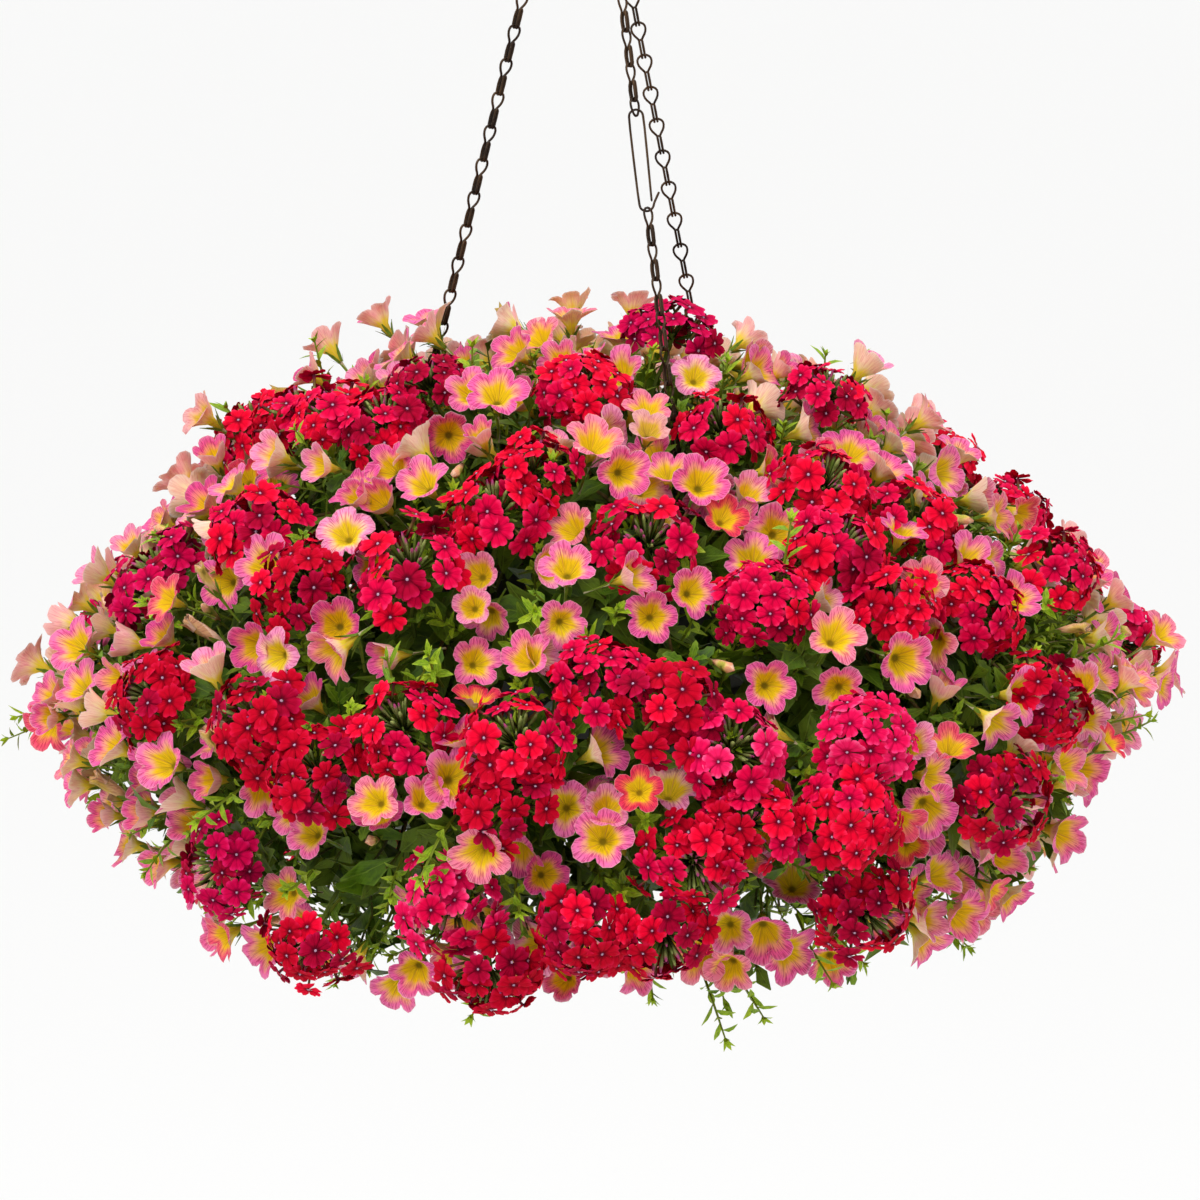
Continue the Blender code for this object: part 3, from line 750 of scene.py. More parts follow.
def makeCluster(name, tints, openTop, florets, ragged, lean, material):
    # a head of florets; openTop is the angle round its top that still holds buds, and ragged is how unevenly
    # they stand
    shape = clusterShape
    root = Vector((0, 0, -shape["root"]))
    bud = floretCells["bud"][0]
    parts = []
    for direction in domeSpots(round(shape["florets"] * florets), openTop, shape["lowest"]):
        if dice.random() < ragged * 0.5:
            continue
        # painted shade: the lower florets take the set's second and third tints more often, and in most sets
        # these hold its darker, shaded copy
        tint = dice.choice(tints[1:]) if dice.random() < 0.75 - 0.5 * direction.z else tints[0]
        reach = shape["radius"] * dice.uniform(0.96 - ragged, 1.02 + ragged)
        spot = root + Vector((direction.x, direction.y, direction.z * shape["flattening"])) * reach
        look = (direction + Vector((0, 0, shape["lookUp"]))).normalized()
        look = leaning(look, dice.uniform(*shape["tilts"]))
        floretKind = dice.choice(floretTemplates)
        one = copyOf(floretKind, facing(spot, look, dice.uniform(0, 72), dice.uniform(*shape["sizes"])))
        recell(one, {0: floretCells[tint][0]})
        parts.append(one)
    if openTop > 5:
        for direction in domeSpots(round(openTop * shape["buds"]), 0, openTop + shape["budSpread"]):
            look = leaning(direction, 8)
            size = dice.uniform(*shape["budSizes"])
            one = copyOf(budTemplate, facing(root + direction * 0.004, look, 0, size))
            if dice.random() < shape["greenBuds"]:
                recell(one, {bud: floretCells["budGreen"][0]})
            parts.append(one)
    # tubes and old sepals fill the middle, under the florets
    for direction in domeSpots(shape["oldSepals"], 20, 105):
        one = copyOf(budTemplate, facing(root + direction * 0.003, leaning(direction, 6), 0, 1.15))
        recell(one, {bud: floretCells["sepal"][0]})
        parts.append(one)
    stalk = ringBody("headStalk", 5, [(0.0013, 0.0), (0.0012, 0.3), (0.0012, 0.6), (0.0016, 1.0)])
    mapTube(stalk, 5, floretCells["stalk"][0])
    end = Vector((lean, lean * 0.5, -shape["stalk"]))
    up = Vector((0, 0, 1))
    bendAlong(stalk, curvedPath(end, end + up * 0.02, root - up * 0.018, root + up * 0.004), lambda t: 1.0)
    return coated(joined(name, parts + [stalk]), material)


# Cells of the foliage atlas: number, dark, main and light colour of each kind of leaf and stem
leafCells = {
    # greens from light to dark: the shoots deeper in the mound take the darker ones, down to inner and
    # innerStem for the deepest, as painted shade
    "fresh": (0, "728E08", "A2BE1A", "CCD854"),
    "spring": (1, "648608", "92B018", "BCCC48"),
    "mid": (2, "567606", "7E9E10", "AAC03E"),
    "cool": (3, "4C6E10", "729420", "9EBA50"),
    "deep": (4, "425F06", "60820E", "88A634"),
    "shade": (5, "324C06", "4A680C", "6C8826"),
    "verbenaFresh": (6, "4A680C", "6A8A16", "94B040"),
    "verbenaMid": (7, "38540A", "547612", "7C9838"),
    "verbenaDeep": (8, "284208", "40600E", "608028"),
    "stemGreen": (10, "506012", "708020", "8C9832"),
    "stemDark": (11, "384412", "505C18", "666E24"),
    "stemBrown": (12, "4A3A1A", "6A5426", "7E6838"),
    "inner": (14, "3E4C0C", "566E14", "708A28"),
    "innerStem": (15, "343410", "464A14", "5A5A20"),
}


def makeLeafMaterial():
    material, tree, shader = newMaterial("foliage", Roughness=0.5, Specular_IOR_Level=0.18)
    place = useGroup(tree, atlasPlace)
    cell, across, along = place["Cell"], place["Across"], place["Along"]
    dark, main, light = cellColours(tree, cell, leafCells)
    spot = addNode(tree, "CombineXYZ")
    for i, value in enumerate((across, along, cell)):
        feed(tree, spot, i, value)
    mottle = patches(tree, spot.outputs[0], 2.6, 3.0)
    colour = mixed(tree, smooth(tree, mottle, 0.30, 0.62), dark, main)
    side = sums(tree, "ABSOLUTE", across)
    # a light midrib, with side veins that slant towards the tip
    slant = sums(tree, "SUBTRACT", times(tree, along, 5.0), times(tree, side, 4.0))
    offVein = sums(tree, "ABSOLUTE", sums(tree, "SUBTRACT", sums(tree, "FRACT", slant), 0.5))
    veins = smooth(tree, offVein, 0.07, 0.0)
    colour = mixed(tree, times(tree, veins, 0.30), colour, light)
    colour = mixed(tree, times(tree, smooth(tree, side, 0.09, 0.02), 0.70), colour, light)
    tip = times(tree, smooth(tree, along, 0.2, 1.0), 0.35)
    colour = mixed(tree, tip, colour, light)
    colour = mixed(tree, times(tree, smooth(tree, side, 0.72, 0.88), 0.4), colour, light)
    feed(tree, shader, "Base Color", colour)
    feed(tree, shader, "Roughness", ranged(tree, mottle, 0.3, 0.7, 0.36, 0.58))
    ridge = sums(tree, "ADD", times(tree, veins, 0.5), smooth(tree, side, 0.10, 0.0))
    bump(tree, shader, ridge, 0.0004, 0.6)
    return material


def makeLeaf(name, cell, length, halfWidth, rows, widest, teeth=0.0, droop=0.25, trough=0.3):
    # a leaf from its base at the origin along +Y, with its upper side to +Z
    bpy.ops.mesh.primitive_grid_add(x_subdivisions=2, y_subdivisions=rows, size=2)
    leaf = bpy.context.object
    leaf.name = name
    corners = leaf.data.vertices
    mapFaces(leaf, lambda face, i: (leafCells[cell][0], corners[i].co.x * 0.9, corners[i].co.y * 0.94))
    for vertex in corners:
        t = (vertex.co.y + 1) / 2
        width = max(0.09, math.sin(math.pi * t ** widest) ** 0.62)
        step = round(t * rows)
        if teeth and 0 < step < rows:
            width *= 1 + teeth * (1 if step % 2 else -1)
        x = vertex.co.x * halfWidth * width
        rise = trough * abs(x) - droop * length * t * t
        vertex.co = (x, length * t * (1 - 0.12 * droop * t), rise)
    return smoothed(leaf)


shootShape = {
    "tip": 0.94,              # where the tuft at its tip grows, as a share of the stem
    "tipAngles": (12, 38),    # of the leaves, from the stem
    "tipSizes": (0.42, 0.66),
    "bare": 0.18,             # share of the stem under the first leaf
    "leafy": 0.72,
    "sizes": (0.78, 1.12),
    "lean": 0.18,
}


def makeShoot(name, leaves, length, count, tints, tuft, spread=(38, 72)):
    # a stem with leaves up it and a tuft of small ones at its tip; it grows along +Z from the origin
    shape = shootShape
    stem = ringBody("stem", 3, [(0.0009, 0.0), (0.0008, length * 0.5), (0.0005, length)])
    # the shoots deep inside get darker stems: painted shade
    mapTube(stem, 3, leafCells["stemGreen" if tints[0] != "inner" else "innerStem"][0])
    parts = [stem]
    for i in range(count + tuft):
        atTip = i >= count
        share = shape["tip"] if atTip else shape["bare"] + shape["leafy"] * (i + 0.5) / count
        angle = dice.uniform(*(shape["tipAngles"] if atTip else spread))
        size = dice.uniform(*shape["tipSizes" if atTip else "sizes"])
        turn = Matrix.Rotation(i * math.radians(goldenAngle) + dice.uniform(-0.3, 0.3), 4, "Z")
        # a leaf lies along +Y, and is raised towards the stem's tip
        raised = Matrix.Rotation(math.radians(90 - angle), 4, "X") @ Matrix.Scale(size, 4)
        one = copyOf(dice.choice(leaves), Matrix.Translation((0, 0, length * share)) @ turn @ raised)
        tint = dice.choice(tints[-2:] if atTip else tints)
        old = {cellOf(spot.uv) for spot in one.data.uv_layers["OFBake"].data}
        recell(one, {cell: leafCells[tint][0] for cell in old})
        parts.append(one)
    for vertex in [v for part in parts for v in part.data.vertices]:
        # the whole shoot leans a little as it grows
        vertex.co.x += shape["lean"] * vertex.co.z * vertex.co.z / length
    return coated(joined(name, parts), foliage)


# The mound of flowers: its outer line as (radius, height above the pot's rim)
mound = {
    "line": ((0.004, 0.131), (0.100, 0.121), (0.190, 0.088), (0.265, 0.032), (0.325, -0.038),
             (0.3455, -0.088), (0.325, -0.147), (0.280, -0.202), (0.215, -0.243), (0.150, -0.252)),
    "headSpace": 0.032,       # blooms keep this far from a head's middle
    "headReach": 0.045,       # and those nearer than this turn away from it
    "headRise": 0.006,        # a head's middle stands at most this far out of the mound
    "headSink": 0.014,        # and is moved in at most this far for it
    "swell": 0.015,           # height of its uneven swells
    "swellScale": 9.0,
    "swellSink": 0.55,        # share of that height by which they lower the whole
    "slack": 0.013,           # one shoulder is this much lower, and the other as much higher
    "slackBand": (0.23, 0.09),        # where that is, and how wide, from the top along the surface
    "slackAzimuth": 350,
    "backSlack": 0.018,       # and the back of the top this much lower
    "backSlackBand": (0.19, 0.09),
    "lowSlack": 0.020,        # one side is drawn in this much at its foot
    "lowSlackBand": (0.515, 0.05),
    "length": 0.66,           # from its top to its foot along the surface
    "step": 0.002,            # of the search for a place on it
    "turn": 137.508,          # degrees from one even place on it to the next
    "back": (8, 172),         # azimuths
}
potLow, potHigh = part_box("hanging_pot")
potMiddle = Vector(((potLow.x + potHigh.x) / 2, (potLow.y + potHigh.y) / 2, potHigh.z))


def band(distance, middle, width):
    return math.exp(-((distance - middle) / width) ** 2)


def moundSpot(azimuth, distance, depth=0.0):
    # the point on the mound and its outward direction, at this distance from its top along the surface
    left = distance
    for (r0, z0), (r1, z1) in zip(mound["line"], mound["line"][1:]):
        run = math.hypot(r1 - r0, z1 - z0)
        if left <= run:
            break
        left -= run
    share = min(left / run, 1.0)
    radial = around(azimuth)
    point = potMiddle + radial * (r0 + (r1 - r0) * share) + Vector((0, 0, z0 + (z1 - z0) * share))
    outward = (radial * (z0 - z1) + Vector((0, 0, r1 - r0))).normalized()
    swell = mound["swell"] * (noise.noise(point * mound["swellScale"]) - mound["swellSink"])
    turn = math.radians(azimuth - mound["slackAzimuth"])
    slack = mound["slack"] * math.cos(turn) * band(distance, *mound["slackBand"])
    slack += mound["lowSlack"] * max(math.cos(turn), 0) * band(distance, *mound["lowSlackBand"])
    slack += mound["backSlack"] * max(radial.y, 0) ** 0.6 * band(distance, *mound["backSlackBand"])
    return point + outward * (swell - slack - depth), outward


def nearestSpot(point):
    # azimuth and distance of the mound's surface nearest to a point
    off = point - potMiddle
    azimuth = math.degrees(math.atan2(off.y, off.x)) % 360
    tries = [i * mound["step"] for i in range(round(mound["length"] / mound["step"]))]
    return azimuth, min(tries, key=lambda d: (moundSpot(azimuth, d)[0] - point).length)


def evenSpots(count, first, last, phase):
    # even places over the mound, as (azimuth, distance)
    steps = 160
    areas = [0.0]
    for i in range(steps):
        distance = first + (last - first) * (i + 0.5) / steps
        radius = (moundSpot(0, distance)[0] - potMiddle).xy.length
        areas.append(areas[-1] + radius)
    spots = []
    step = 0
    for i in range(count):
        wanted = areas[-1] * (i + 0.5) / count
        while areas[step + 1] < wanted:
            step += 1
        share = (wanted - areas[step]) / (areas[step + 1] - areas[step])
        spots.append(((phase + i * mound["turn"]) % 360, first + (last - first) * (step + share) / steps))
    return spots


# Heads beyond the CAD ones, by tint, as (azimuth, distance)
moreHeads = {
    "scarlet": ((195, 0.19), (301, 0.14), (254, 0.23), (306, 0.31), (250, 0.375), (292, 0.43), (278, 0.46),
                (283, 0.43)),
    "crimson": ((221, 0.17), (218, 0.27), (302, 0.265), (270, 0.345)),
    "garnet": ((242, 0.41), (261, 0.415), (240, 0.52), (268, 0.50), (297, 0.51), (259, 0.53), (276, 0.51)),
    "magenta": ((330, 0.045), (219, 0.13)),
    "hotPink": ((282, 0.39),),
}
# Tints of the CAD heads that aren't scarlet, by plant and head
headTints = {
    "crimson": ("1_03", "1_04", "1_05", "2_01", "2_06", "2_09", "3_03", "3_05"),
    "magenta": ("3_06", "3_07", "3_10"),
    "hotPink": ("1_09", "1_10", "2_08", "3_09"),
    "garnet": ("1_06", "1_08", "2_07", "2_10", "3_04", "3_08"),
}
tintSets = {
    "scarlet": ("scarlet", "scarletShaded", "crimson"),
    "crimson": ("crimson", "crimsonShaded", "scarlet"),
    "magenta": ("magenta", "magentaShaded", "crimsonShaded"),
    "hotPink": ("hotPink", "hotPinkLight", "crimson"),
    # the garnet set is made of the darker copies of scarlet and crimson: painted shade for heads that stand
    # low on the mound
    "garnet": ("scarletShaded", "crimsonShaded", "scarlet"),
}
plantAzimuths = {"calibrachoa": (202.5, 322.5, 82.5), "verbena": (262.5, 22.5, 142.5)}


def plantAt(kind, azimuth):
    # number of the plant of this kind whose third of the mound holds the azimuth
    offs = [abs((azimuth - own + 180) % 360 - 180) for own in plantAzimuths[kind]]
    return offs.index(min(offs)) + 1


print("materials")
trumpetPetal = makeTrumpetMaterial()
floretPetal = makeFloretMaterial()
foliage = makeLeafMaterial()

print("blooms and heads")
trumpets = makeTrumpets(trumpetPetal)
floretTemplates = [makeFloret(0) for _ in range(5)]
budTemplate = makeClusterBud()
clusterPlans = {
    # open top in degrees, share of the florets, raggedness, lean of the stalk
    "Full": (0, 1.0, 0.05, 0.004),
    "Loose": (6, 0.96, 0.20, -0.004),
    "Budded": (20, 0.94, 0.10, -0.006),
    "Open": (30, 0.86, 0.12, 0.008),
    "OpenLoose": (25, 0.86, 0.24, 0.006),
}
clusters = {tint: [makeCluster(tint + kind, tints, *plan, floretPetal) for kind, plan in clusterPlans.items()]
            for tint, tints in tintSets.items()}

heads = {
    "tries": 120,
    "from": 0.05,
    "phase": 17,
    "spacing": 0.066,         # between a head that is spread by rule and any other
    "backFrom": 0.17,         # at the back those start this far from the top
    "lookUp": 0.15,
    "tilts": (0, 12),
    "depths": (-0.002, 0.004),
    "sizes": (0.99, 1.12),
    "stretches": (0.92, 1.08),
    "mix": (0, 1, 1, 2, 2, 3, 3, 4),     # numbers of the clusters of a tint, the common ones twice
    "tints": ("scarlet", "scarlet", "crimson", "crimson", "magenta", "hotPink"),
}


def standOut(distance):
    # how far the heads at the mound's foot and on its very top stand out of it
    return 0.028 if distance > 0.48 else 0.014 if distance > 0.44 else 0.016 if distance < 0.06 else 0.0


def cadHeads():
    for node in sorted(frame["nodes"]):
        if "_head_" in node:
            low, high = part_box(node)
            point = (low + high) / 2
            azimuth, distance = nearestSpot(point)
            # where the mound is slack its heads sink a little with it
            surface, outward = moundSpot(azimuth, distance)
            proud = (point - surface).dot(outward)
            point -= outward * min(max(proud - mound["headRise"], 0), mound["headSink"])
            number = node[8] + "_" + node[-2:]
            tint = next((t for t, numbers in headTints.items() if number in numbers), "scarlet")
            yield point, azimuth, distance, tint, node


headPlaces = list(cadHeads())      # (point, azimuth, distance, tint, name of the CAD node or None)
for tint, places in moreHeads.items():
    for azimuth, distance in places:
        point = moundSpot(azimuth, distance, -standOut(distance))[0]
        headPlaces.append((point, azimuth, distance, tint, None))
for azimuth, distance in evenSpots(heads["tries"], heads["from"], mound["length"], heads["phase"]):
    # those in front are all listed
    isBack = mound["back"][0] <= azimuth <= mound["back"][1]
    if not isBack or distance < heads["backFrom"]:
        continue
    point = moundSpot(azimuth, distance)[0]
    if min((point - other[0]).length for other in headPlaces) > heads["spacing"]:
        headPlaces.append((point, azimuth, distance, dice.choice(heads["tints"]), None))
print("heads", len(headPlaces))

extraHeads = {1: [], 2: [], 3: []}
headPieces = []
for point, azimuth, distance, tint, node in headPlaces:
    outward = moundSpot(azimuth, distance)[1]
    look = leaning((outward + Vector((0, 0, heads["lookUp"]))).normalized(), dice.uniform(*heads["tilts"]))
    stretch = Matrix.Diagonal([dice.uniform(*heads["stretches"]) for _ in range(3)]).to_4x4()
    cluster = clusters[tint][dice.choice(heads["mix"])]
    point = point + outward * dice.uniform(*heads["depths"])
    one = copyOf(cluster, facing(point, look, dice.uniform(0, 360), dice.uniform(*heads["sizes"])) @ stretch)
    if node:
        headPieces.append((node, joined(node.replace("head", "cluster"), [one])))
    else:
        extraHeads[plantAt("verbena", azimuth)].append(one)
for node, piece in headPieces:
    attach(piece, "root")
    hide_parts(node)
for number, parts in extraHeads.items():
    piece = joined(f"verbena_{number}_more_clusters", parts)
    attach(piece, "root")

print("calibrachoa blooms")
flowerShares = {"wideOrchid": 4, "wideRose": 3, "wideBlush": 2, "wideGolden": 3, "cupOrchid": 5,
                "cupMagenta": 4, "cupRose": 4, "flatCoral": 2, "openRose": 4, "openGolden": 3,
                "youngCream": 4, "youngPink": 3, "starRed": 2, "faded": 1, "bud": 2, "spent": 1}
flowerMix = [kind for kind, share in flowerShares.items() for _ in range(share)]
blooms = {
    "tries": 1900,
    "area": (0.01, 0.61),     # where they grow, from the top along the surface
    "foot": 0.50,             # from here on a share of them is left out
    "frontThinning": 0.2,
    "backThinning": 0.5,
    "depths": (0.008, 0.030),
    "inset": 0.006,           # more than that in one band
    "insetBand": (0.41, 0.07),
    "mouth": 0.014,           # from a bloom's foot to its mouth
    "nearest": 0.0205,        # two mouths are never nearer than this
    "near": 0.027,            # and nearer than this, the second bloom grows lower
    "lower": 0.008,
    "chainSpace": 0.016,
    "sideways": 0.2,          # share of them, above sidewaysTo
    "sidewaysTo": 0.46,
    "sidewaysTilts": (44, 66),
    "tilt": 40,
    "tallTilt": 20,
    "outOnTop": 0.8,          # how much they turn
    "upOnSide": 0.8,
    "sizes": (0.96, 1.24),
    "jitter": (1.5, 0.008),   # of azimuth and distance, from an even place
    "offHead": 0.7,           # how much those beside a head turn away from it
    "besideHead": 0.005,      # and how much deeper they grow
    "phase": 53,
    "plantTurn": 330,         # how far round from a bloom its plant is looked for
}
chainLines = []
for node in ("left_chain", "right_chain", "front_chain_lower"):
    corners = [v.co for v in frame["nodes"][node].data.vertices]
    chainLines.append((max(corners, key=lambda c: c.z), min(corners, key=lambda c: c.z)))


def nearChain(point):
    for top, foot in chainLines:
        along = (foot - top).normalized()
        off = point - top
        if (off - along * off.dot(along)).length < blooms["chainSpace"] and point.z < top.z:
            return True
    return False


# Blooms that stand up along the top, as (azimuth, distance, rise)
tallBlooms = ((154, 0.142, 0.012), (124, 0.098, -0.003), (101, 0.094, 0.004), (80, 0.093, 0.0),
              (44, 0.112, 0.002), (152, 0.186, 0.008), (186, 0.235, 0.008), (353, 0.40, 0.0),
              (3, 0.43, -0.003))
bloomMouths = []
bloomParts = {1: [], 2: [], 3: []}


def growBloom(azimuth, distance, rise):
    # rise is None for a bloom that doesn't stand up; a bloom that finds no room is left out
    isTall = rise is not None
    # the foot of the mound is thinner, most of all at the back
    thinning = blooms["frontThinning" if azimuth % 360 > mound["back"][1] else "backThinning"]
    if distance > blooms["foot"] and dice.random() < thinning:
        return
    if isTall:
        point, outward = moundSpot(azimuth, distance, -rise)
    else:
        turn, slide = blooms["jitter"]
        azimuth += dice.uniform(-turn, turn)
        distance = max(0.0, distance + dice.uniform(-slide, slide))
        inset = blooms["inset"] * band(distance, *blooms["insetBand"])
        point, outward = moundSpot(azimuth, distance, dice.uniform(*blooms["depths"]) + inset)
    head = min((other[0] for other in headPlaces), key=lambda c: (c - point).length)
    aside = point - head
    aside -= outward * aside.dot(outward)
    if aside.length < mound["headSpace"] and not isTall:
        return
    # blooms on the top turn outwards, those on the side turn up a little
    level = max(outward.z, 0)
    look = outward + around(azimuth) * blooms["outOnTop"] * level
    look += Vector((0, 0, blooms["upOnSide"])) * (1 - level)
    if aside.length < mound["headReach"]:
        look += aside.normalized() * blooms["offHead"]
        point -= outward * blooms["besideHead"]
    tilts = (0, blooms["tallTilt"]) if isTall else (0, blooms["tilt"])
    if not isTall and distance < blooms["sidewaysTo"] and dice.random() < blooms["sideways"]:
        tilts = blooms["sidewaysTilts"]
    look = leaning(look.normalized(), dice.uniform(*tilts))
    mouth = point + look * blooms["mouth"]
    nearest = min(((mouth - other).length for other in bloomMouths), default=1)
    if nearChain(mouth) or nearest < blooms["nearest"]:
        return
    if nearest < blooms["near"]:
        point -= outward * blooms["lower"]
    bloomMouths.append(point + look * blooms["mouth"])
    kind = dice.choice(flowerMix)
    place = facing(point, look, dice.uniform(0, 360), dice.uniform(*blooms["sizes"]))
    bloomParts[plantAt("calibrachoa", azimuth + blooms["plantTurn"])].append(copyOf(trumpets[kind], place))


for spot in tallBlooms:
    growBloom(*spot)
for spot in evenSpots(blooms["tries"], *blooms["area"], blooms["phase"]):
    growBloom(*spot, None)
print("blooms", len(bloomMouths))
for number, parts in bloomParts.items():
    piece = joined(f"calibrachoa_{number}_flowers", parts)
    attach(piece, "root")
    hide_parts(f"calibrachoa_{number}_blooms")

print("leaves")
smallLeaves = [
    makeLeaf("smallLeaf", "mid", 0.0108, 0.0021, 3, 0.80, droop=0.22),
    makeLeaf("roundLeaf", "mid", 0.0098, 0.0024, 3, 0.72, droop=0.32),
    makeLeaf("narrowLeaf", "mid", 0.0120, 0.0018, 3, 0.85, droop=0.12),
]
toothedLeaves = [
    makeLeaf("toothedLeaf", "verbenaMid", 0.026, 0.0062, 8, 1.25, teeth=0.16, droop=0.25),
    makeLeaf("slimToothedLeaf", "verbenaMid", 0.022, 0.0046, 8, 1.20, teeth=0.17, droop=0.12),
]
broadLeaves = [makeLeaf("broadLeaf", "inner", 0.024, 0.0066, 2, 0.8, droop=0.3)]
deepLeaves = [makeLeaf("deepLeaf", "inner", 0.031, 0.0085, 2, 0.8, droop=0.3)]
# painted shade: shoots that grow deeper in the mound take darker greens, from the bright tints near the
# surface to the darkest far inside
brightTints = ("mid", "spring", "fresh")
shadedTints = ("deep", "cool", "mid")
deepShadeTints = ("inner", "shade", "inner")
verbenaTints = ("verbenaDeep", "verbenaMid", "verbenaFresh")
shoots = {
    "bright": [makeShoot(f"brightShoot{i}", smallLeaves, 0.028 + 0.005 * i, 8 + i % 2, brightTints, 5)
               for i in range(4)],
    "dark": [makeShoot(f"darkShoot{i}", smallLeaves, 0.034 + 0.006 * i, 8, shadedTints, 4) for i in range(3)],
    "inner": [makeShoot(f"innerShoot{i}", broadLeaves, 0.044, 8, deepShadeTints, 1, (40, 100)) for i in range(3)],
    "deepest": [makeShoot(f"deepShoot{i}", deepLeaves, 0.044, 8, deepShadeTints, 1, (40, 100)) for i in range(2)],
    "verbena": [makeShoot(f"verbenaShoot{i}", toothedLeaves, 0.036, 4, verbenaTints, 2, (45, 80))
                for i in range(3)],
}
foliageParts = {(kind, number): [] for kind in plantAzimuths for number in (1, 2, 3)}


def treeOf(points):
    tree = kdtree.KDTree(len(points))
    for i, point in enumerate(points):
        tree.insert(point, i)
    tree.balance()
    return tree


mouthTree = treeOf(bloomMouths)
headTree = treeOf([other[0] for other in headPlaces])


room = {
    "headReaches": (0.028, 0.042),           # up a stem, where it is held against the heads
    "fromHead": 0.031,
    "underHead": 0.016,                      # it starts this much lower when it comes too near
    "stemReaches": (0.014, 0.026, 0.040),    # and where it is held against the blooms
    "fromBloom": 0.018,
    "underBloom": 0.018,
    "fromBloomLow": 0.013,                   # when it has been lowered
    "fromLeaf": 0.0095,                      # from any corner of a leaf to the mouth of a bloom
    "turns": 4,                              # tries to turn a shoot so that this is kept
    "jitter": (2, 0.01),                     # of azimuth and distance, from an even place
    "lookUp": 0.25,
    "sizes": (0.85, 1.2),
}


def isClear(shoot, place):
    # whether no corner of the shoot lies in the mouth of a bloom
    return all(mouthTree.find(place @ vertex.co)[2] > room["fromLeaf"] for vertex in shoot.data.vertices)


def plantShoots(kind, group, count, first, last, phase, depths, tilt, clear=0.0, isKeptOut=False):
    # clear keeps their roots this far from heads; isKeptOut keeps their stems out of the blooms
    for azimuth, distance in evenSpots(count, first, last, phase):
        turn, slide = room["jitter"]
        azimuth += dice.uniform(-turn, turn)
        distance = min(max(0.0, distance + dice.uniform(-slide, slide)), last)
        point, outward = moundSpot(azimuth, distance, dice.uniform(*depths))
        if clear and headTree.find(point)[2] < clear:
            continue
        look = leaning((outward + Vector((0, 0, room["lookUp"]))).normalized(), dice.uniform(0, tilt))
        upStem = [headTree.find(point + look * reach)[2] for reach in room["headReaches"]]
        if clear and min(upStem) < room["fromHead"]:
            point -= outward * room["underHead"]
        spots = [point + look * reach for reach in room["stemReaches"]]
        if isKeptOut and min(mouthTree.find(spot)[2] for spot in spots) < room["fromBloom"]:
            # lower first, and if that isn't enough, not at all
            down = outward * room["underBloom"]
            point -= down
            if min(mouthTree.find(spot - down)[2] for spot in spots[1:]) < room["fromBloomLow"]:
                continue
        shoot = dice.choice(shoots[group])
        size = dice.uniform(*room["sizes"])
        turned = [facing(point, look, dice.uniform(0, 360), size) for _ in range(room["turns"])]
        place = next((each for each in turned if isClear(shoot, each)), None)
        if place:
            foliageParts[kind, plantAt(kind, azimuth)].append(copyOf(shoot, place))


# plant, group, count, first and last distance from the top, phase, depths, tilt, clear, isKeptOut
for plan in (("calibrachoa", "bright", 800, 0.0, 0.63, 7, (0.028, 0.048), 35, 0.026, True),
             ("calibrachoa", "bright", 60, 0.0, 0.20, 47, (0.020, 0.034), 25, 0.034, True),
             ("calibrachoa", "bright", 90, 0.43, 0.61, 149, (0.018, 0.036), 40, 0.030, True),
             ("calibrachoa", "dark", 400, 0.0, 0.66, 101, (0.040, 0.064), 55, 0.0, True),
             ("verbena", "verbena", 130, 0.02, 0.64, 211, (0.044, 0.060), 50, 0.024, True),
             ("calibrachoa", "inner", 460, 0.0, 0.68, 307, (0.056, 0.086), 75),
             ("calibrachoa", "inner", 200, 0.43, 0.62, 29, (0.050, 0.078), 75),
             ("verbena", "deepest", 360, 0.0, 0.69, 331, (0.088, 0.130), 80)):
    plantShoots(*plan)
for (kind, number), parts in foliageParts.items():
    piece = joined(f"{kind}_{number}_foliage", parts)
    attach(piece, "root")
    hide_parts(f"{kind}_{number}_leaves")

print("branches")
branches = {
    "count": 26,
    "spread": 55,             # degrees to each side of their plant
    "depth": 0.045,           # of their ends in the mound
    "rise": 0.055,            # straight up out of the soil
    "crown": 0.006,           # half the width of the place where they leave the soil
    "farFrom": 0.3,           # those that end farther down than this bend over the pot's rim
    "over": 0.045,            # height and radius of that bend
    "overRadius": 0.15,
    "nearBend": 0.05,         # height of the bend of the others
    "thickness": (0.0011, 0.0021),
}
branchTube = ringBody("branchTube", 5, [(1.0, i / 9) for i in range(10)])
mapTube(branchTube, 5, leafCells["stemDark"][0])
branchTube.data.materials.append(foliage)


def makeBranch(crown, own, number):
    azimuth = own + dice.uniform(-branches["spread"], branches["spread"])
    distance = mound["length"] * (number + 0.6) / branches["count"]
    goal = moundSpot(azimuth, distance, branches["depth"])[0]
    wide = branches["crown"]
    start = crown + Vector((dice.uniform(-wide, wide), dice.uniform(-wide, wide), 0))
    bend = start + Vector((0, 0, branches["nearBend"]))
    if distance > branches["farFrom"]:
        bend = potMiddle + around(azimuth) * branches["overRadius"] + Vector((0, 0, branches["over"]))
    one = copyOf(branchTube, Matrix.Identity(4))
    thick = dice.uniform(*branches["thickness"])
    path = curvedPath(start, start + Vector((0, 0, branches["rise"])), bend, goal)
    bendAlong(one, path, lambda t: thick * (1.25 - 0.6 * t))
    if number % 3 == 0:
        recell(one, {leafCells["stemDark"][0]: leafCells["stemBrown"][0]})
    return one


for kind, azimuths in plantAzimuths.items():
    for number, own in enumerate(azimuths, start=1):
        low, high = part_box(f"{kind}_{number}_stems")
        crown = Vector(((low.x + high.x) / 2, (low.y + high.y) / 2, low.z))
        parts = [makeBranch(crown, own, i) for i in range(branches["count"])]
        piece = smoothed(joined(f"{kind}_{number}_branches", parts))
        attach(piece, "root")
        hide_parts(f"{kind}_{number}_stems")

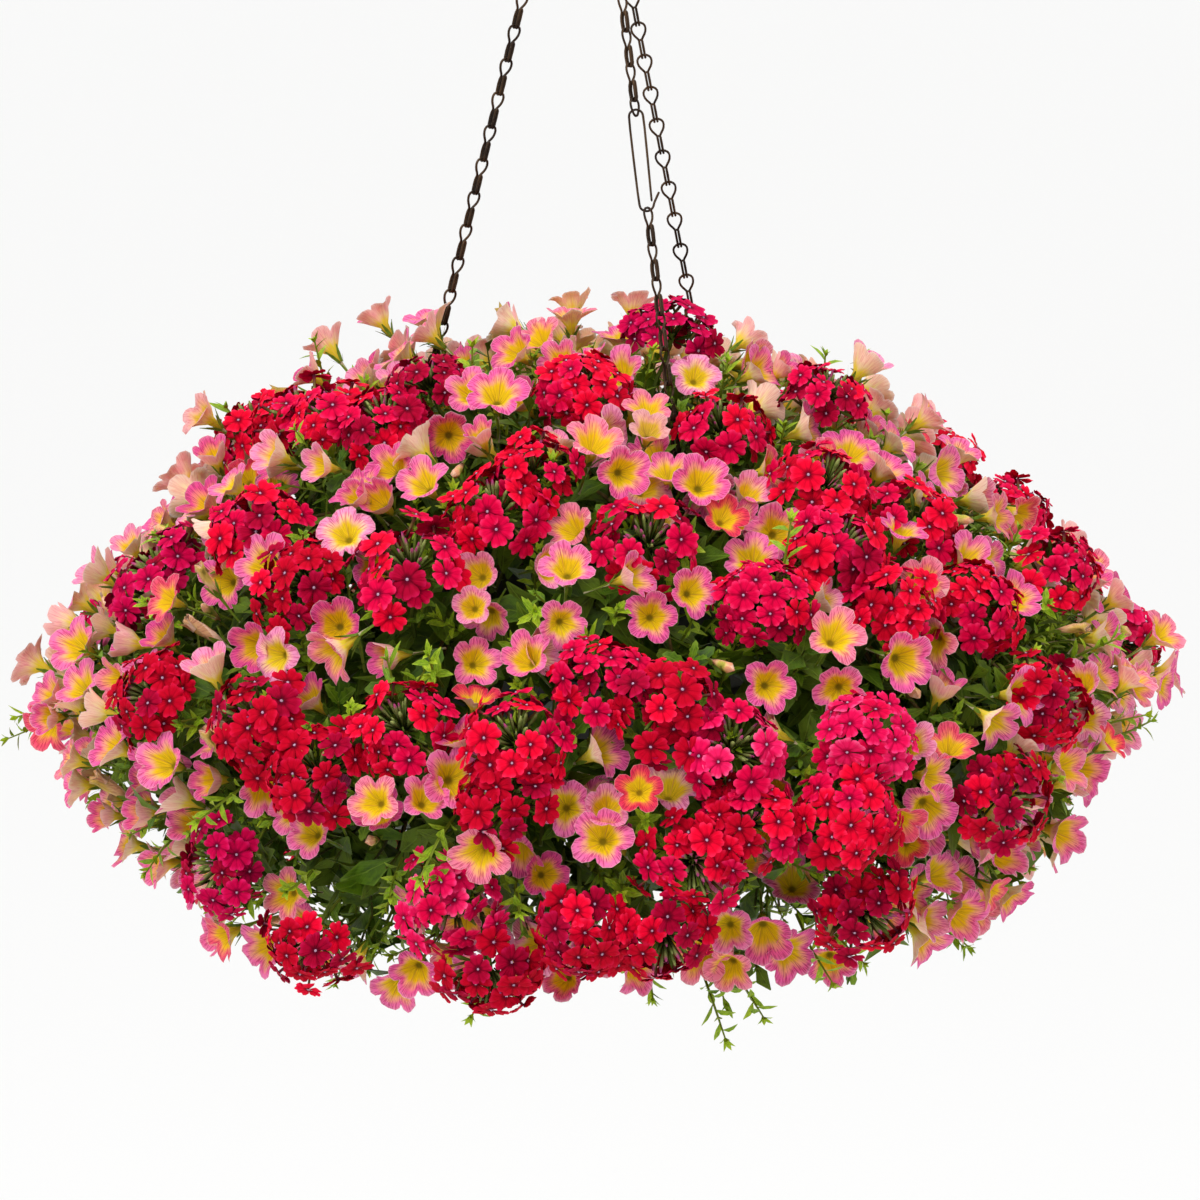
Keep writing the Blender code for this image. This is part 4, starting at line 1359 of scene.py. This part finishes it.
putAway([branchTube, budTemplate, *floretTemplates, *trumpets.values()])
putAway([*smallLeaves, *toothedLeaves, *broadLeaves, *deepLeaves])
putAway([each for group in clusters.values() for each in group])
putAway([each for group in shoots.values() for each in group])


# Wire hanger

link = {
    "wire": 0.00075,
    # centre line of half a link as (across, depth, height): its loop, shank and fold round the next loop
    "half": ((0.0, 0.0, 0.0036), (0.0034, 0.0, 0.0022), (0.0042, 0.0, -0.0006), (0.0030, -0.0001, -0.0040),
             (0.0011, -0.0006, -0.0068), (0.0009, -0.0015, -0.0092), (0.0009, -0.0016, -0.0150),
             (0.0009, -0.0011, -0.0174), (0.0009, 0.0002, -0.0181), (0.0009, 0.0014, -0.0170),
             (0.0009, 0.0016, -0.0145), (0.0009, 0.0016, -0.0088), (0.0006, 0.0015, -0.0068)),
    "lastHalf": ((0.0, 0.0, 0.0036), (0.0034, 0.0, 0.0022), (0.0042, 0.0, -0.0006), (0.0030, 0.0, -0.0040),
                 (0.0012, 0.0, -0.0064)),
    "top": 0.0043,
    "foot": 0.0070,
    "pitch": 0.020,
    "endDepth": 0.0012,             # how near its ends the corners of a strand's solid give its line
    "faceGap": (0.0008, 0.0022),    # between the flat faces of that solid
}


def makeMetal(name, colour, worn, roughness):
    material, tree, shader = newMaterial(name, Metallic=0.85)
    surface = useGroup(tree, surfaceGrain, PatchScale=60.0, GrainScale=900.0)
    grain = surface["Grain"]
    tone = mixed(tree, smooth(tree, surface["Patches"], 0.35, 0.65), paint(colour), paint(worn))
    tone = mixed(tree, times(tree, smooth(tree, grain, 0.58, 0.72), 0.5), tone, paint("8A7C6A"))
    feed(tree, shader, "Base Color", tone)
    feed(tree, shader, "Roughness", ranged(tree, grain, 0.3, 0.7, roughness - 0.08, roughness + 0.12))
    bump(tree, shader, grain, 0.00008, 0.6)
    return material


def makeLink(name, half):
    # a closed wire through the half line and its mirror image
    points = list(half) + [(-x, y, z) for x, y, z in reversed(half[1:])]
    bpy.ops.curve.primitive_bezier_circle_add()
    wire = bpy.context.object
    curve = wire.data
    curve.splines.clear()
    spline = curve.splines.new("BEZIER")
    spline.bezier_points.add(len(points) - 1)
    for knot, point in zip(spline.bezier_points, points):
        knot.co = point
        knot.handle_left_type = knot.handle_right_type = "AUTO"
    spline.use_cyclic_u = True
    curve.resolution_u = 2
    curve.bevel_depth = link["wire"]
    curve.bevel_resolution = 1
    pick(wire)
    bpy.ops.object.convert(target="MESH")
    wire.name = name
    bpy.ops.object.shade_smooth()
    return wire


def strandFrame(node):
    # the strand's own directions, from its flat solid: up it, across its loops and out of them
    points = [v.co for v in frame["nodes"][node].data.vertices]
    high = [p for p in points if p.z > max(q.z for q in points) - link["endDepth"]]
    low = [p for p in points if p.z < min(q.z for q in points) + link["endDepth"]]
    top, foot = sum(high, Vector()) / len(high), sum(low, Vector()) / len(low)
    up = (top - foot).normalized()
    sides = [(p - top) - (p - top).dot(up) * up for p in points]
    far = max(sides, key=lambda s: s.length)
    # the farthest corner lies a little off the plane of the loops, so both faces are averaged
    least, most = link["faceGap"]
    mate = max((s for s in sides if least < (s - far).length < most), key=lambda s: s.length, default=far)
    across = (far + mate).normalized()
    return top, foot, up, across


def makeStrand(node, name, templates, material):
    top, foot, up, across = strandFrame(node)
    count = round(((top - foot).length - link["top"] - link["foot"]) / link["pitch"]) + 1
    depth = up.cross(across)
    parts = []
    for i in range(count):
        middle = top - up * (link["top"] + i * link["pitch"])
        place = Matrix((across, depth, up)).transposed().to_4x4()
        place.translation = middle
        parts.append(copyOf(templates[i == count - 1], place))
    piece = joined(name, parts)
    piece.data.materials.append(material)
    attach(piece, "root")
    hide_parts(node)


def makeRounded(node, name, material):
    # a smooth copy of a bent wire
    piece = copyOf(frame["nodes"][node], Matrix.Identity(4))
    for key in list(piece.keys()):
        del piece[key]
    piece.parent = None
    piece.name = name
    startEditing(piece)
    bpy.ops.mesh.remove_doubles(threshold=0.00001)
    bpy.ops.mesh.normals_make_consistent(inside=False)
    # the rims of its cut ends stay full
    bpy.ops.mesh.select_all(action="DESELECT")
    bpy.ops.mesh.select_mode(type="EDGE")
    bpy.ops.mesh.edges_select_sharp(sharpness=math.radians(75))
    bpy.ops.transform.edge_crease(value=0.9)
    bpy.ops.mesh.select_mode(type="VERT")
    stopEditing()
    rounding = piece.modifiers.new("rounding", "SUBSURF")
    rounding.levels = 1
    rounding.render_levels = 1
    bpy.ops.object.modifier_apply(modifier="rounding")
    bpy.ops.object.shade_smooth()
    coated(piece, material)
    pickNothing()
    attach(piece, "root")
    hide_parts(node)


print("hanger")
chainMetal = makeMetal("chainBronze", "2C2018", "4A3624", 0.42)
hookMetal = makeMetal("hookBronze", "241C16", "3C3026", 0.40)
links = [makeLink("link", link["half"]), makeLink("lastLink", link["lastHalf"])]
for node, name in (("left_chain", "left_links"), ("right_chain", "right_links"),
                   ("front_chain_upper", "front_upper_links"), ("front_chain_lower", "front_lower_links")):
    makeStrand(node, name, links, chainMetal)
putAway(links)
makeRounded("hanger_hook", "ceiling_hook", hookMetal)
for node, name in (("front_chain_clip", "front_clip"), ("left_rim_hook", "left_pot_hook"),
                   ("right_rim_hook", "right_pot_hook"), ("front_rim_hook", "front_pot_hook")):
    makeRounded(node, name, chainMetal)


# Pot and soil

def makePotMaterial():
    material, tree, shader = newMaterial("potResin", Specular_IOR_Level=0.4)
    surface = useGroup(tree, surfaceGrain, PatchScale=22.0, GrainScale=700.0)
    grain, marks = surface["Grain"], surface["Patches"]
    tone = mixed(tree, smooth(tree, marks, 0.45, 0.75), paint("23231F"), paint("4A463C"))
    feed(tree, shader, "Base Color", tone)
    feed(tree, shader, "Roughness", ranged(tree, marks, 0.3, 0.7, 0.42, 0.68))
    bump(tree, shader, grain, 0.0001, 0.7)
    return material


def makeSoilMaterial():
    material, tree, shader = newMaterial("pottingSoil", Specular_IOR_Level=0.2)
    surface = useGroup(tree, surfaceGrain, PatchScale=40.0, GrainScale=260.0)
    crumbs, damp = surface["Grain"], surface["Patches"]
    tone = mixed(tree, smooth(tree, crumbs, 0.38, 0.64), paint("1E140C"), paint("4A3422"))
    tone = mixed(tree, times(tree, smooth(tree, damp, 0.45, 0.7), 0.4), tone, paint("140D08"))
    feed(tree, shader, "Base Color", tone)
    feed(tree, shader, "Roughness", ranged(tree, damp, 0.4, 0.7, 0.95, 0.7))
    bump(tree, shader, crumbs, 0.0015, 0.8)
    return material


pot = {
    "wallTop": 0.1185,
    "wall": 0.0018,
    "floor": 0.0025,
    "footInner": 0.088,
    "ribs": (0.12, 0.5, 0.86),     # as shares of its height
    "steps": 96,
    "lugCircle": 0.1275,
    "lugAzimuths": (52.5, 172.5, 292.5),
    "lugHole": 0.003,
    "drainCircle": 0.055,
    "drainHole": 0.006,
    "drains": 6,
}


def makePot():
    height = potHigh.z - potLow.z
    edge = (potHigh.x - potLow.x) / 2
    foot = pot["footInner"] + pot["wall"]
    wallTop = pot["wallTop"] + pot["wall"]
    # from under the floor, with a foot ring, up the ribbed wall, round the rim and down inside
    rings = [(0.020, -height + 0.0015), (foot - 0.014, -height + 0.0015), (foot - 0.012, -height),
             (foot - 0.002, -height), (foot, -height + 0.0015)]
    for share in pot["ribs"]:
        radius = foot + (wallTop - foot) * share
        z = -height * (1 - share)
        rib = radius + 0.0007
        rings += [(radius, z - 0.004), (rib, z - 0.002), (rib, z + 0.002), (radius, z + 0.004)]
    inner, floor = pot["footInner"], -height + pot["floor"]
    rings += [(wallTop - 0.0003, -0.0030), (wallTop + 0.0012, -0.0020), (edge - 0.0012, -0.0020),
              (edge, -0.0014), (edge, -0.0004), (edge - 0.0006, 0.0), (pot["wallTop"] + 0.001, 0.0),
              (pot["wallTop"], -0.001), (inner + 0.004, -height + 0.006), (inner, floor + 0.0005),
              (inner - 0.002, floor), (0.020, floor)]
    body = ringBody("resin_pot", pot["steps"], rings)
    body.data.transform(Matrix.Translation(potMiddle))
    holes = [(around(a) * pot["lugCircle"] + potMiddle, pot["lugHole"]) for a in pot["lugAzimuths"]]
    for i in range(pot["drains"]):
        spot = potMiddle + around(360 * i / pot["drains"]) * pot["drainCircle"] - Vector((0, 0, height))
        holes.append((spot, pot["drainHole"]))
    for point, radius in holes:
        bpy.ops.mesh.primitive_cylinder_add(vertices=24, radius=radius, depth=0.014, location=point)
        cutter = bpy.context.object
        pick(body)
        drill = body.modifiers.new("drill", "BOOLEAN")
        drill.object = cutter
        bpy.ops.object.modifier_apply(modifier="drill")
        putAway([cutter])
    pick(body)
    bpy.ops.object.shade_smooth_by_angle(angle=math.radians(38))
    body.data.materials.append(makePotMaterial())
    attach(body, "root")
    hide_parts("hanging_pot")


soilShape = {
    "steps": 64,
    "unevenness": 0.0035,
    "crumbs": 90,             # of perlite
    "crumbSizes": (0.5, 1.2),
    "sunk": 0.0012,
}


def makeSoil():
    low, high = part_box("potting_soil")
    middle = Vector(((low.x + high.x) / 2, (low.y + high.y) / 2, 0))
    top, radius = high.z, (high.x - low.x) / 2
    foot = pot["footInner"] - 0.0005
    rings = [(foot, low.z), (radius - 0.0003, top - 0.002), (radius - 0.003, top)]
    rings += [(radius * share, top) for share in (percent / 100 for percent in range(92, 0, -8))]
    soil = ringBody("soil_surface", soilShape["steps"], rings)
    for vertex in soil.data.vertices:
        if vertex.co.z > top - 0.001:
            vertex.co.z -= dice.uniform(0.0, soilShape["unevenness"])
    soil.data.transform(Matrix.Translation(middle))
    soil.data.materials.append(makeSoilMaterial())
    perlite, tree, shader = newMaterial("perlite", Roughness=0.9)
    specks = useGroup(tree, surfaceGrain, PatchScale=90.0, GrainScale=500.0)
    tone = mixed(tree, specks["Grain"], paint("B8B0A0"), paint("F0ECE2"))
    feed(tree, shader, "Base Color", tone)
    bpy.ops.mesh.primitive_ico_sphere_add(subdivisions=1, radius=0.0017)
    crumb = bpy.context.object
    startEditing(crumb)
    bpy.ops.transform.resize(value=(1.2, 0.9, 0.75))
    stopEditing()
    crumb.data.materials.append(perlite)
    parts = [soil]
    for i in range(soilShape["crumbs"]):
        spot = middle + around(i * goldenAngle) * radius * 0.96 * math.sqrt((i + 0.5) / soilShape["crumbs"])
        spot.z = top - soilShape["sunk"]
        look = leaning(Vector((0, 0, 1)), 30)
        parts.append(copyOf(crumb, facing(spot, look, 0, dice.uniform(*soilShape["crumbSizes"]))))
    putAway([crumb])
    piece = joined("soil_surface", parts)
    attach(piece, "root")
    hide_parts("potting_soil")


print("pot and soil")
makePot()
makeSoil()


# Floor, light and camera

stage = {
    "floorDrop": 3.6,        # under the hook
    "floorRadius": 400,
    "viewDistance": 2.2,
    "elevation": 12.0,
    "frameWidth": 0.72,      # what the picture takes in at the basket
    "aim": Vector((-0.0024, 0, -0.043)),    # from the middle of the pot's rim
    # name: place from the middle of the pot's rim, size, watts
    "panels": {"keyPanel": ((-1.2, -2.2, 2.6), 1.6, 70), "topPanel": ((0.6, 0.8, 3.0), 2.4, 30)},
}


def makeStage():
    bpy.ops.mesh.primitive_circle_add(vertices=96, radius=stage["floorRadius"], fill_type="NGON",
                                      location=(0, 0, -stage["floorDrop"]))
    floor = bpy.context.object
    floor.name = "floor"
    material, _, shader = newMaterial("paleFloor", Roughness=0.8, Specular_IOR_Level=0.1)
    shader.inputs["Base Color"].default_value = (0.95, 0.95, 0.945, 1)
    floor.data.materials.append(material)
    world = bpy.data.worlds.new("softLight")
    world.use_nodes = True
    world.node_tree.nodes["Background"].inputs["Color"].default_value = (1, 1, 1, 1)
    world.node_tree.nodes["Background"].inputs["Strength"].default_value = 1.0
    bpy.context.scene.world = world


def addPanel(name, place, size, watts):
    # a large soft lamp that looks at the basket
    bpy.ops.object.light_add(type="AREA", location=potMiddle + Vector(place))
    lamp = bpy.context.object
    lamp.name = name
    lamp.data.size = size
    lamp.data.energy = watts
    lamp.rotation_euler = (-Vector(place)).to_track_quat("-Z", "Y").to_euler()


def addCamera():
    tilt = math.radians(stage["elevation"])
    target = potMiddle + stage["aim"]
    back = Vector((0, -math.cos(tilt), math.sin(tilt)))
    bpy.ops.object.camera_add(location=target + back * stage["viewDistance"])
    camera = bpy.context.object
    camera.rotation_euler = (-back).to_track_quat("-Z", "Y").to_euler()
    camera.data.sensor_width = 36
    camera.data.lens = 36 * stage["viewDistance"] / stage["frameWidth"]
    bpy.context.scene.camera = camera


print("stage")
makeStage()
for name, panel in stage["panels"].items():
    addPanel(name, *panel)
addCamera()
bpy.context.scene.view_settings.view_transform = "Standard"

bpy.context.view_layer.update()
shown = [o for o in bpy.data.objects if o.type == "MESH" and "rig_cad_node" not in o]
print("triangles", sum(len(face.vertices) - 2 for each in shown for face in each.data.polygons))
